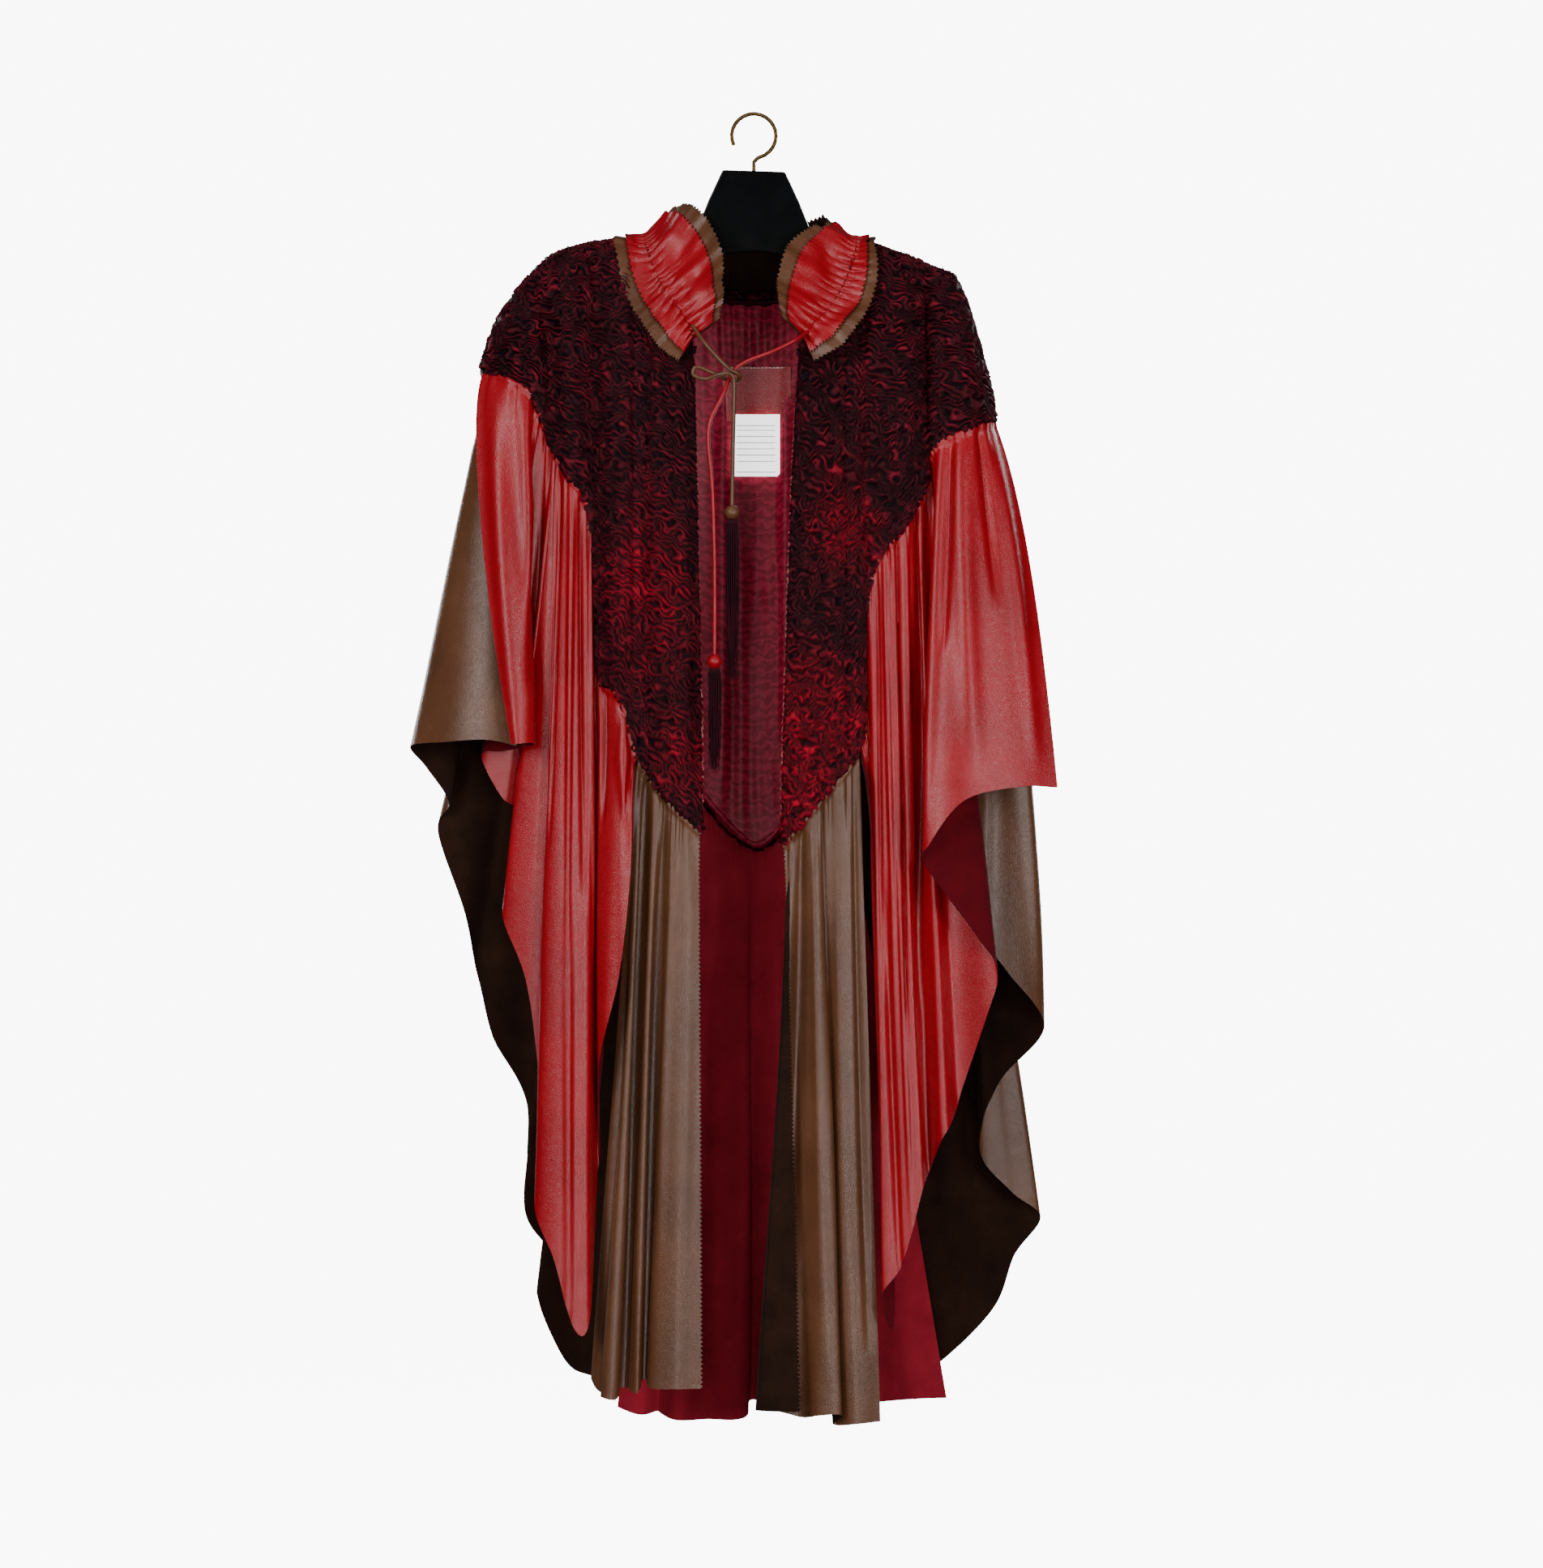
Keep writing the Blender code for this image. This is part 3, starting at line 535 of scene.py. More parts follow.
def start_material(name: str) -> tuple:
    """Starts a material.

    Args:
        name: what the real material is.

    Returns:
        The material, its tree, its shader and the Object coordinates in metres.
    """
    made = bpy.data.materials.new(name)
    made.use_nodes = True
    tree = made.node_tree
    shader = tree.nodes["Principled BSDF"]
    place = add(tree, "ShaderNodeTexCoord", {})
    return made, tree, shader, place.outputs["Object"]


@dataclass(frozen=True)
class NappaGrain:
    """Drum-dyed nappa, grain side: pebbled pores, soft creases and a satin gloss.

    Its pores are under 1 mm, and are drawn at 1.7 mm, as coarse as they need to show.
    """

    name: str
    deep: str
    main: str
    worn: str
    roughness: float = 0.4
    pore: float = 1.7 * MM
    crease: float = 8 * MM
    patch: float = 90 * MM

    def build(self) -> bpy.types.Material:
        """Makes the material.

        Returns:
            The finished material.
        """
        made, tree, shader, place = start_material(self.name)
        tone = ramp(tree, cloud(tree, place, self.patch, 5.0, 0.62),
                    [(0.35, self.deep), (0.5, self.main), (0.65, self.worn)])
        pore = add(tree, "ShaderNodeTexVoronoi", {"Vector": place, "Scale": 1 / self.pore},
                   feature="DISTANCE_TO_EDGE")
        pit = add(tree, "ShaderNodeMapRange",
                  {"Value": pore.outputs["Distance"], "From Min": 0.0, "From Max": 0.3})
        filled = add(tree, "ShaderNodeMapRange",
                     {"Value": pit.outputs["Result"], "To Min": 0.6, "To Max": 1.0})
        mottle = add(tree, "ShaderNodeMix",
                     {0: filled.outputs["Result"], 6: colour(self.deep), 7: tone},
                     data_type="RGBA")
        crease = cloud(tree, place, self.crease, 4.0, 0.6)
        rough = add(tree, "ShaderNodeMapRange",
                    {"Value": crease, "To Min": self.roughness - 0.04,
                     "To Max": self.roughness + 0.06})
        folds = relief(tree, crease, 0.3, 0.9 * MM)
        wire(tree, shader, {
            "Base Color": mottle.outputs[2], "Roughness": rough.outputs["Result"],
            "Normal": relief(tree, pit.outputs["Result"], 0.5, 0.2 * MM, folds),
            "IOR": 1.5, "Specular IOR Level": 0.36, "Coat Weight": 0.1, "Coat Roughness": 0.25,
        })
        return made


@dataclass(frozen=True)
class FleshSide:
    """The same hide's buffed flesh side: matt nap with soft streaks.

    Its nap is under 0.3 mm, and is drawn at 1.1 mm, as coarse as it needs to show.
    """

    name: str
    deep: str
    main: str
    patch: float = 45 * MM
    nap: float = 1.1 * MM

    def build(self) -> bpy.types.Material:
        """Makes the material.

        Returns:
            The finished material.
        """
        made, tree, shader, place = start_material(self.name)
        wire(tree, shader, {
            "Base Color": ramp(tree, cloud(tree, place, self.patch, 8.0, 0.66),
                               [(0.32, self.deep), (0.68, self.main)]),
            "Normal": relief(tree, cloud(tree, place, self.nap, 3.0, 0.7), 0.5, 0.4 * MM),
            "Roughness": 0.88, "Specular IOR Level": 0.12,
            "Sheen Weight": 0.03, "Sheen Roughness": 0.5,
        })
        return made


@dataclass(frozen=True)
class CurlyLamb:
    """Dyed curly lamb: near-black wine, its colour ramped by each curl's height, so that the
    partings are darkened as painted shade and the tips of the curls are crimson as painted
    highlight.

    Single hairs are under 0.1 mm, and locks of them are drawn at 1.4 mm.
    """

    name: str = "curly_lamb"
    hair: float = 1.4 * MM
    patch: float = 120 * MM

    def build(self) -> bpy.types.Material:
        """Makes the material.

        Returns:
            The finished material, which reads each point's curl and its glow of painted light.
        """
        made, tree, shader, place = start_material(self.name)
        curl = add(tree, "ShaderNodeAttribute", {}, attribute_name="curl")
        glow = add(tree, "ShaderNodeAttribute", {}, attribute_name="glow")
        # Painted shade and painted highlight: each ramp runs from near black in the partings to
        # crimson on the curls' tips.
        dark = ramp(tree, curl.outputs["Fac"],
                    [(0.05, "#080003"), (0.4, "#26040C"), (0.75, "#4C0A18"), (1.0, "#7C1428")])
        bright = ramp(tree, curl.outputs["Fac"],
                      [(0.05, "#140004"), (0.4, "#4E0210"), (0.75, "#84061E"), (1.0, "#B21228")])
        # Painted light: where a point's glow is high, the pile takes the bright ramp, a lit copy of
        # the dark one.
        both = add(tree, "ShaderNodeMath", {
            0: cloud(tree, place, self.patch, 6.0, 0.7), 1: glow.outputs["Fac"],
            2: glow.outputs["Fac"],
        }, operation="MULTIPLY_ADD")
        share = add(tree, "ShaderNodeMapRange",
                    {"Value": both.outputs["Value"], "From Min": 0.34, "From Max": 1.0})
        mix = add(tree, "ShaderNodeMix", {0: share.outputs["Result"], 6: dark, 7: bright},
                  data_type="RGBA")
        hair = cloud(tree, place, self.hair, 4.0, 0.7, 2.5)
        wire(tree, shader, {
            "Base Color": mix.outputs[2], "Normal": relief(tree, hair, 0.7, 0.9 * MM),
            "Roughness": 0.5, "Specular IOR Level": 0.12,
        })
        return made


@dataclass(frozen=True)
class Moire:
    """Watered rayon: fine ribs pressed into wandering bands, with a silky sheen.

    Its ribs are under 0.5 mm, and are drawn at 2.2 mm, as coarse as they need to show.
    """

    name: str = "moire_lining"
    rib: float = 2.2 * MM
    band: float = 34 * MM

    def build(self) -> bpy.types.Material:
        """Makes the material.

        Returns:
            The finished material, which follows the cloth's own map.
        """
        made, tree, shader, _ = start_material(self.name)
        cloth = add(tree, "ShaderNodeUVMap", {}, uv_map="cloth").outputs["UV"]
        band = add(tree, "ShaderNodeTexWave",
                   {"Vector": cloth, "Scale": 1 / self.band, "Distortion": 9.0, "Detail": 4.0,
                    "Detail Scale": 3.0}, wave_type="BANDS", bands_direction="Y")
        tone = ramp(tree, band.outputs["Fac"],
                    [(0.0, "#7A0C26"), (0.6, "#8C122E"), (1.0, "#9E1E3A")])
        rib = add(tree, "ShaderNodeTexWave",
                  {"Vector": cloth, "Scale": 1 / (self.rib * 3), "Distortion": 0.7, "Detail": 1.0},
                  wave_type="BANDS", bands_direction="Y")
        wire(tree, shader, {
            "Base Color": tone, "Normal": relief(tree, rib.outputs["Fac"], 0.12, 0.2 * MM),
            "Roughness": 0.42, "Specular IOR Level": 0.15,
        })
        return made


@dataclass(frozen=True)
class Plain:
    """A small or hard surface: one tone with fine mottling, its own roughness and metal, and where
    set a glow of painted light.
    """

    name: str
    deep: str
    main: str
    roughness: float
    metallic: float = 0.0
    speck: float = 4 * MM
    relief: float = 0.1 * MM
    coat: float = 0.0
    painted_glow: float = 0.0

    def build(self) -> bpy.types.Material:
        """Makes the material.

        Returns:
            The finished material.
        """
        made, tree, shader, place = start_material(self.name)
        speck = cloud(tree, place, self.speck, 6.0, 0.65)
        rough = add(tree, "ShaderNodeMapRange",
                    {"Value": speck, "To Min": max(0.02, self.roughness - 0.05),
                     "To Max": self.roughness + 0.06})
        wire(tree, shader, {
            "Base Color": ramp(tree, speck, [(0.3, self.deep), (0.7, self.main)]),
            "Roughness": rough.outputs["Result"], "Metallic": self.metallic,
            "Normal": relief(tree, speck, 0.3, self.relief),
            "Coat Weight": self.coat, "Coat Roughness": 0.06,
            # Emission by this strength is painted light: the surface glows though it is no lamp.
            "Emission Color": colour(self.main), "Emission Strength": self.painted_glow,
        })
        return made


class Finish(Enum):
    """The cape's finishes, each built once."""

    # Aniline-dyed nappa, polished by the drum: satin gloss on the grain, dull nap inside. The
    # inside of the back is the same hide, its flesh side painted lighter as painted light, for the
    # light of the opening that it hangs in.
    RED = NappaGrain("red_nappa", "#940918", "#A00C1C", "#AA101F", 0.3)
    RED_FLESH = FleshSide("red_flesh_side", "#4E020E", "#640513")
    RED_FLESH_PAINTED_LIGHT = FleshSide("red_flesh_painted_light", "#841426", "#9C1E30")
    BROWN = NappaGrain("brown_nappa", "#583622", "#623D27", "#6C452D", 0.31)
    BROWN_FLESH = FleshSide("brown_flesh_side", "#1A0C06", "#2E180E")
    # Lamb pelt, dyed in the piece, the skin dull: the light that the curls catch on their backs is
    # painted into the pile as painted highlight, and the partings as painted shade.
    FUR = CurlyLamb()
    SKIN = FleshSide("fur_skin", "#2C0810", "#441019")
    # Calendered rayon, woven satin tape and printed rules, and spun polyester thread.
    LINING = Moire()
    # The label is given a faint glow of painted light, so that it shows brighter white.
    LABEL = Plain("woven_label", "#E4E6EC", "#F2F3F6", 0.8, speck=2 * MM, painted_glow=2.2)
    PRINT = Plain("label_print", "#8A909C", "#9CA2AC", 0.8)
    THREAD = Plain("white_thread", "#E9DFD2", "#F6F1E8", 0.7, speck=0.6 * MM)
    # Injection-moulded ABS from a polished mould, nearly a mirror, and plated, buffed wire.
    GLOSS = Plain("black_abs", "#020304", "#040507", 0.14, speck=30 * MM, relief=0.04 * MM,
                  coat=0.3)
    BRASS = Plain("brass_plate", "#9C7A45", "#C29C5E", 0.24, 1.0)
    # Split suede, cut into strands: no gloss at all.
    TASSEL = FleshSide("plum_suede", "#20060F", "#3A0E1A")


class Dyehouse:
    """Builds each finish the first time it is asked for."""

    def __init__(self) -> None:
        """Starts with nothing built."""
        self.built: dict[Finish, bpy.types.Material] = {}

    def get(self, finish: Finish) -> bpy.types.Material:
        """Returns the material of a finish."""
        if finish not in self.built:
            self.built[finish] = finish.value.build()
        return self.built[finish]


DYES = Dyehouse()


def report(piece: bpy.types.Object) -> bpy.types.Object:
    """Puts a finished piece on the body and logs it.

    Args:
        piece: the finished piece.

    Returns:
        The same piece.
    """
    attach(piece, BODY)
    LOG.info("made %s", piece.name)
    return piece


# The flounces

@dataclass(frozen=True)
class Crease:
    """One soft crease of a flounce, given in its table's rows and shares of its drop."""

    at: float
    start: float
    end: float
    width: float
    depth: float
    lean: float = 0.0


@dataclass(frozen=True)
class Gathers:
    """The puckers below a seam: their spacing, height and how far they reach down."""

    pitch: float = 12 * MM
    height: float = 2.0 * MM
    reach: float = 55 * MM
    seed: int = 1


def creased(grid: np.ndarray, at: np.ndarray, v: np.ndarray, creases: list[Crease]) -> np.ndarray:
    """Heights of creases over a grid: depth times exp(-(distance / width)^2) times an end fade.

    Args:
        grid: the points.
        at: the table row number of each column.
        v: the share of the drop of each row.
        creases: what to add.

    Returns:
        A height for each point.
    """
    across = lengths(grid, 1)
    rows = np.arange(len(v))
    total = np.zeros(across.shape)
    for crease in creases:
        along = np.clip((v - crease.start) / (crease.end - crease.start), 0, 1)
        column = np.interp(crease.at + crease.lean * along, at, np.arange(len(at)))
        low = np.minimum(column.astype(int), len(at) - 2)
        rest = column - low
        middle = across[rows, low] * (1 - rest) + across[rows, low + 1] * rest
        fade = np.sin(math.pi * along) ** 0.7
        share = np.exp(-((across - middle[:, None]) / (crease.width * MM)) ** 2)
        total += crease.depth * MM * fade[:, None] * share
    return total


class Edge(Enum):
    """Which free edge of a piece is cut with pinking shears."""

    NONE = 0
    FIRST = 1
    LAST = 2


PINK_DEPTH = 2.6 * MM
RUCHE = 3.6 * MM
RUCHE_DROP = 5 * MM
RUCHE_WIDTH = 4 * MM
RUCHE_PITCH = 6 * MM
SWAG = 34 * MM
SWAG_HEIGHT = 1.3
SLACK = 2.2 * MM
SLACK_SIZE = 58 * MM
SLACK_STRETCH = np.array([1.0, 1.0, 0.22])


def pinked(grid: np.ndarray, edge: Edge) -> np.ndarray:
    """Moves every second point of a free edge outwards, so that it is a row of small teeth.

    Args:
        grid: the cloth's points.
        edge: which side of the grid is pinked.

    Returns:
        The grid with its teeth.
    """
    made = grid.copy()
    if edge is Edge.FIRST:
        made[::2, 0] += unit(grid[::2, 0] - grid[::2, 1]) * PINK_DEPTH
    if edge is Edge.LAST:
        made[::2, -1] += unit(grid[::2, -1] - grid[::2, -2]) * PINK_DEPTH
    return made


@dataclass
class Flounce:
    """One leather flounce, from its gathered seam to its cut hem."""

    name: str
    folds: np.ndarray
    yoke: np.ndarray
    back: bool
    grain: Finish
    flesh: Finish
    slot: str
    flat: tuple[float, float]
    area: float
    creases: list[Crease]
    gathers: Gathers = field(default_factory=Gathers)
    columns: int = 170
    rows: int = 50
    row_ease: float = 1.9
    edge: Edge = Edge.NONE

    def stations(self) -> np.ndarray:
        """Spreads the columns evenly by the seam's and the hem's lengths.

        Returns:
            A row number for each column.
        """
        fine = np.linspace(0, len(self.folds) - 1, 1500)
        read = through(self.folds, fine)
        seam = seam_points(self.yoke, read[:, 0])
        total = np.zeros(len(fine))
        for line in (seam, read[:, 1:4]):
            steps = np.linalg.norm(np.diff(line, axis=0), axis=1)
            along = np.insert(np.cumsum(steps), 0, 0.0)
            total += along / along[-1]
        return np.interp(np.linspace(0, total[-1], self.columns), total, fine)

    def surface(self) -> np.ndarray:
        """The flounce's middle: the CAD's loft, then gathers, creases and slack along its normal.

        Gathers are rounded ridges with sharp partings, |sin| of the seam's length over their
        pitch, that fade with exp(-(drop / reach)^1.5). Swags are slow noise along the seam,
        which stand out most at the gathers' reach and run on down. At the seam itself the
        allowance stands up as a ruche, a round bulge with fine puckers. Slack is slow noise,
        stretched down the drop.

        Returns:
            A grid with a row for each step down the drop.
        """
        at = self.stations()
        read = through(self.folds, at)
        seam = seam_points(self.yoke, read[:, 0])
        start = seam - np.array([0.0, 0.0, SEAM_FLAT])
        v = np.linspace(0, 1, self.rows) ** self.row_ease
        fall = start[None] + (read[:, 1:4] - start)[None] * v[:, None, None]
        fall[..., 0] += read[:, 4] * BOW_SHAPE * (np.sqrt(v) * (1 - v))[:, None]
        fall[..., 1] = start[:, 1] + (read[:, 2] - start[:, 1]) * v[:, None] ** FOLD_OPENING
        grid = np.concatenate([seam[None], fall])
        shares = np.insert(v, 0, 0.0)
        normals = normals_of(grid)
        along = lengths(grid, 1)[1]
        drop = lengths(grid, 0)
        g = self.gathers
        wander = along + g.pitch * 1.6 * line_noise(along, 3.3 * g.pitch, g.seed)
        ridge = 2 * np.abs(np.sin(math.pi * wander / g.pitch)) ** 0.8 - 1.1
        tall = np.clip(0.6 + 0.8 * line_noise(along, 2.3 * g.pitch, g.seed + 5), 0.1, 1.3)
        reach = g.reach * (1 + 0.75 * line_noise(along, 3.1 * g.pitch, g.seed + 9))
        fade = np.exp(-(drop / reach) ** 1.5) * np.clip(drop / (12 * MM), 0.2, 1)
        height = g.height * ridge * tall * fade
        swag = line_noise(along, SWAG, g.seed + 12)
        swag = swag + 0.3 * line_noise(along, SWAG / 2, g.seed + 13)
        run_on = np.clip(drop / g.reach, 0, 1) * np.exp(-drop / (4 * g.reach))
        height += SWAG_HEIGHT * g.height * swag * run_on
        bulge = np.exp(-((drop - RUCHE_DROP) / RUCHE_WIDTH) ** 2)
        uneven = along + 2 * MM * line_noise(along, 9 * MM, 8)
        height += RUCHE * bulge * (0.35 + 0.65 * np.abs(np.sin(math.pi * uneven / RUCHE_PITCH)))
        ease = np.clip(drop / (120 * MM), 0, 1)
        height += ease * SLACK * noise(grid * SLACK_STRETCH, SLACK_SIZE, g.seed + 2)
        height += creased(grid, at, shares, self.creases) * np.clip(drop / (14 * MM), 0.1, 1)
        side = -1.0 if self.back else 1.0
        return pinked(grid + normals * (height * side)[..., None], self.edge)

    def build(self) -> bpy.types.Object:
        """Makes the flounce with its grain outside and its flesh side inside.

        Returns:
            The flounce.
        """
        piece = mesh_object(self.name + "_leather", [self.surface()], flip=self.back)
        thicken(piece, LEATHER_WALL, (DYES.get(self.grain), DYES.get(self.flesh)))
        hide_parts(self.name)
        return report(piece)


FLOUNCES = [
    Flounce("flounce_brown_back_left", BROWN_BACK_LEFT, YOKE_BACK, True, Finish.BROWN,
            Finish.BROWN_FLESH, "brown_leather", (0.5, 0.75), 0.195, [
                Crease(3.4, 0.2, 1.1, 16, -4), Crease(6.2, 0.1, 0.9, 11, 3, 0.3),
                Crease(8.4, 0.15, 1.0, 14, -4, -0.3), Crease(10.6, 0.3, 1.1, 12, 4),
                Crease(12.3, 0.1, 0.8, 13, -5, 0.2), Crease(14.2, 0.2, 1.1, 15, 4, -0.2),
                Crease(15.3, 0.05, 0.6, 10, -4),
            ], Gathers(13 * MM, 2.0 * MM, 35 * MM, 3)),
    # The inside of the red back is painted lighter: painted light of the opening.
    Flounce("flounce_red_back", RED_BACK, YOKE_BACK, True, Finish.RED, Finish.RED_FLESH_PAINTED_LIGHT,
            "red_leather", (0.42, 0.6), 0.17, [
                Crease(0.8, 0.05, 0.7, 10, 4), Crease(2.2, 0.2, 1.1, 12, -4, 0.2),
                Crease(3.6, 0.1, 0.8, 9, 4, -0.2), Crease(5.3, 0.3, 1.1, 12, -4),
                Crease(7.4, 0.05, 0.6, 9, 4, 0.3), Crease(8.7, 0.2, 1.0, 13, -4, -0.2),
                Crease(10.4, 0.1, 0.9, 11, 4), Crease(11.9, 0.3, 1.1, 12, -4, 0.2),
            ], Gathers(11 * MM, 1.8 * MM, 30 * MM, 5)),
    Flounce("flounce_brown_back_right", BROWN_BACK_RIGHT, YOKE_BACK, True, Finish.BROWN,
            Finish.BROWN_FLESH, "brown_leather", (0.5, 0.75), 0.21, [
                Crease(0.7, 0.05, 0.7, 11, -4), Crease(2.0, 0.2, 1.1, 14, 4, 0.2),
                Crease(3.2, 0.1, 0.9, 12, -5, -0.2), Crease(5.0, 0.2, 1.0, 14, 4),
                Crease(7.4, 0.25, 1.1, 12, -4, 0.2), Crease(9.5, 0.3, 1.0, 12, 4, -0.3),
                Crease(10.6, 0.4, 1.0, 9, -3),
            ], Gathers(13 * MM, 2.0 * MM, 35 * MM, 7)),
    Flounce("flounce_red_front_left", RED_FRONT_LEFT, YOKE_FRONT_LEFT, False, Finish.RED,
            Finish.RED_FLESH, "red_leather", (0.42, 0.72), 0.165, [
                Crease(0.7, 0.0, 0.9, 9, 4, 0.2), Crease(1.6, 0.0, 0.6, 6, 4, 0.3),
                Crease(2.1, -0.1, 0.5, 6, -10, 1.6), Crease(3.1, 0.3, 0.85, 7, -8, -1.0),
                Crease(6.4, 0.1, 0.8, 8, 3), Crease(10.8, -0.05, 0.55, 5, 4, 0.2),
                Crease(11.8, -0.1, 0.5, 3.6, -7, 0.4), Crease(13.1, -0.05, 0.6, 6, 4, 0.3),
                Crease(14.3, -0.1, 0.5, 4, -7, 0.3), Crease(15.3, 0.0, 0.6, 4, 3),
                Crease(16.0, 0.15, 1.0, 6, -10, 0.7), Crease(17.2, -0.1, 0.4, 4, -6),
                Crease(18.4, -0.05, 0.5, 6, 4), Crease(13.4, 0.5, 1.1, 14, 4, 0.4),
                Crease(8.6, -0.1, 0.7, 7, -8, 0.3),
            ], Gathers(10 * MM, 2.2 * MM, 30 * MM, 11), columns=230, rows=60),
    Flounce("flounce_red_front_right", RED_FRONT_RIGHT, YOKE_FRONT_RIGHT, False, Finish.RED,
            Finish.RED_FLESH, "red_leather", (0.45, 0.72), 0.18, [
                Crease(1.5, 0.05, 0.8, 7, 4), Crease(2.6, 0.1, 0.9, 6, -6, 0.2),
                Crease(3.6, 0.2, 0.95, 8, 4, -0.2), Crease(4.6, -0.05, 0.6, 3.6, -5, -0.3),
                Crease(5.2, 0.0, 0.7, 5, 4, -0.2), Crease(6.3, -0.1, 0.8, 4.6, -9, -0.9),
                Crease(6.9, -0.05, 0.7, 5, 4, -0.8), Crease(7.9, -0.15, 0.75, 5, -11, -1.1),
                Crease(4.6, 0.45, 1.05, 6, -7, 0.3), Crease(5.4, 0.4, 1.0, 7, 4),
                Crease(6.2, 0.5, 1.0, 6, -8, 0.4), Crease(13.0, 0.0, 0.95, 9, 5, 0.6),
                Crease(14.0, -0.05, 0.55, 6, -6, 0.2), Crease(14.9, 0.03, 0.95, 11, 5, 0.3),
                Crease(15.7, -0.05, 0.5, 5, -6, 0.1), Crease(16.4, 0.05, 0.95, 7, 4),
            ], Gathers(11 * MM, 2.2 * MM, 28 * MM, 13), columns=230, rows=60),
    Flounce("flounce_brown_front_left", BROWN_FRONT_LEFT, YOKE_FRONT_LEFT, False, Finish.BROWN,
            Finish.BROWN_FLESH, "brown_leather", (0.2, 0.64), 0.09, [
                Crease(1.2, 0.3, 1.2, 5, -7), Crease(2.4, -0.05, 1.1, 5, 4, 0.2),
                Crease(3.5, -0.1, 1.1, 4.6, -9, 0.7), Crease(4.8, -0.05, 1.0, 4, 4),
                Crease(5.8, -0.1, 1.1, 5, -9), Crease(7.0, -0.05, 0.8, 4, 3, 0.1),
                Crease(8.2, 0.3, 1.1, 10, 2, -0.1),
            ], Gathers(11 * MM, 2.6 * MM, 45 * MM, 17), 46, 251, 1.0, Edge.LAST),
    Flounce("flounce_brown_front_right", BROWN_FRONT_RIGHT, YOKE_FRONT_RIGHT, False, Finish.BROWN,
            Finish.BROWN_FLESH, "brown_leather", (0.22, 0.68), 0.09, [
                Crease(4.1, -0.1, 0.9, 6, -10, -1.0), Crease(5.3, -0.05, 0.95, 5, 4),
                Crease(6.5, -0.1, 1.05, 4, -8, 0.3), Crease(7.6, -0.05, 1.05, 8, 4),
                Crease(8.5, -0.1, 0.9, 4, -7, 0.1), Crease(3.0, 0.1, 1.1, 9, 3),
            ], Gathers(11 * MM, 2.6 * MM, 45 * MM, 19), 48, 261, 1.0, Edge.FIRST),
]


# The fur. A pelt's curls are 5 to 7 mm across, and stand about as high.

CURL_SIZE = 5.4 * MM
CURL_HEIGHT = 5.0 * MM
CURL_WAY = np.array([0.45, 0.3, 0.85])
FUR_SPREAD = 2.2 * MM
CURL_DRIFT = 1.6 * MM
LUMP_SIZE = 34 * MM
ROUND_ANGLES = np.radians((28, 56, 84, 112, 140))


def curls(points: np.ndarray) -> np.ndarray:
    """The height of curly lamb, from 0 in a parting to 1 on a curl.

    It is |sin| of the way along CURL_WAY over the pitch, which noise of two sizes pushes on and
    back by more than a pitch, so that even ridges wind about and close on themselves.

    Args:
        points: places on the pelt.

    Returns:
        A height for each place.
    """
    phase = points @ CURL_WAY / CURL_SIZE + 1.5 * noise(points, 2.3 * CURL_SIZE, 51)
    phase = phase + 0.9 * noise(points, 1.3 * CURL_SIZE, 52)
    ridge = np.abs(np.sin(math.pi * phase)) ** 0.9
    return np.clip(ridge * (0.85 + 0.25 * noise(points, 1.6 * CURL_SIZE, 53)), 0, 1)


def round_edge(base: np.ndarray, aim: np.ndarray, out: np.ndarray, axis: int, last: bool) -> tuple:
    """Adds rows or columns at an edge, whose aim turns from the normal past the outward way.

    Each added aim is the normal times cos plus the outward way times sin of one of ROUND_ANGLES,
    so that the pile rolls round the edge and ends behind the skin.

    Args:
        base: the skin's points.
        aim: the way that the hair stands at each.
        out: the way across the edge at each.
        axis: 0 for the first or last row, 1 for the first or last column.
        last: whether it is the last one rather than the first.

    Returns:
        The longer grid of points and that of aims.
    """
    take = (lambda a: a[-1:] if last else a[:1]) if axis == 0 else (
        lambda a: a[:, -1:] if last else a[:, :1])
    edge, normal, outward = take(base), take(aim), take(out)
    places, aims = [], []
    for angle in ROUND_ANGLES:
        places.append(edge)
        aims.append(unit(normal * math.cos(angle) + outward * math.sin(angle)))
    if not last:
        places, aims = places[::-1], aims[::-1]
    sides = (([base] + places), ([aim] + aims)) if last else ((places + [base]), (aims + [aim]))
    return np.concatenate(sides[0], axis=axis), np.concatenate(sides[1], axis=axis)


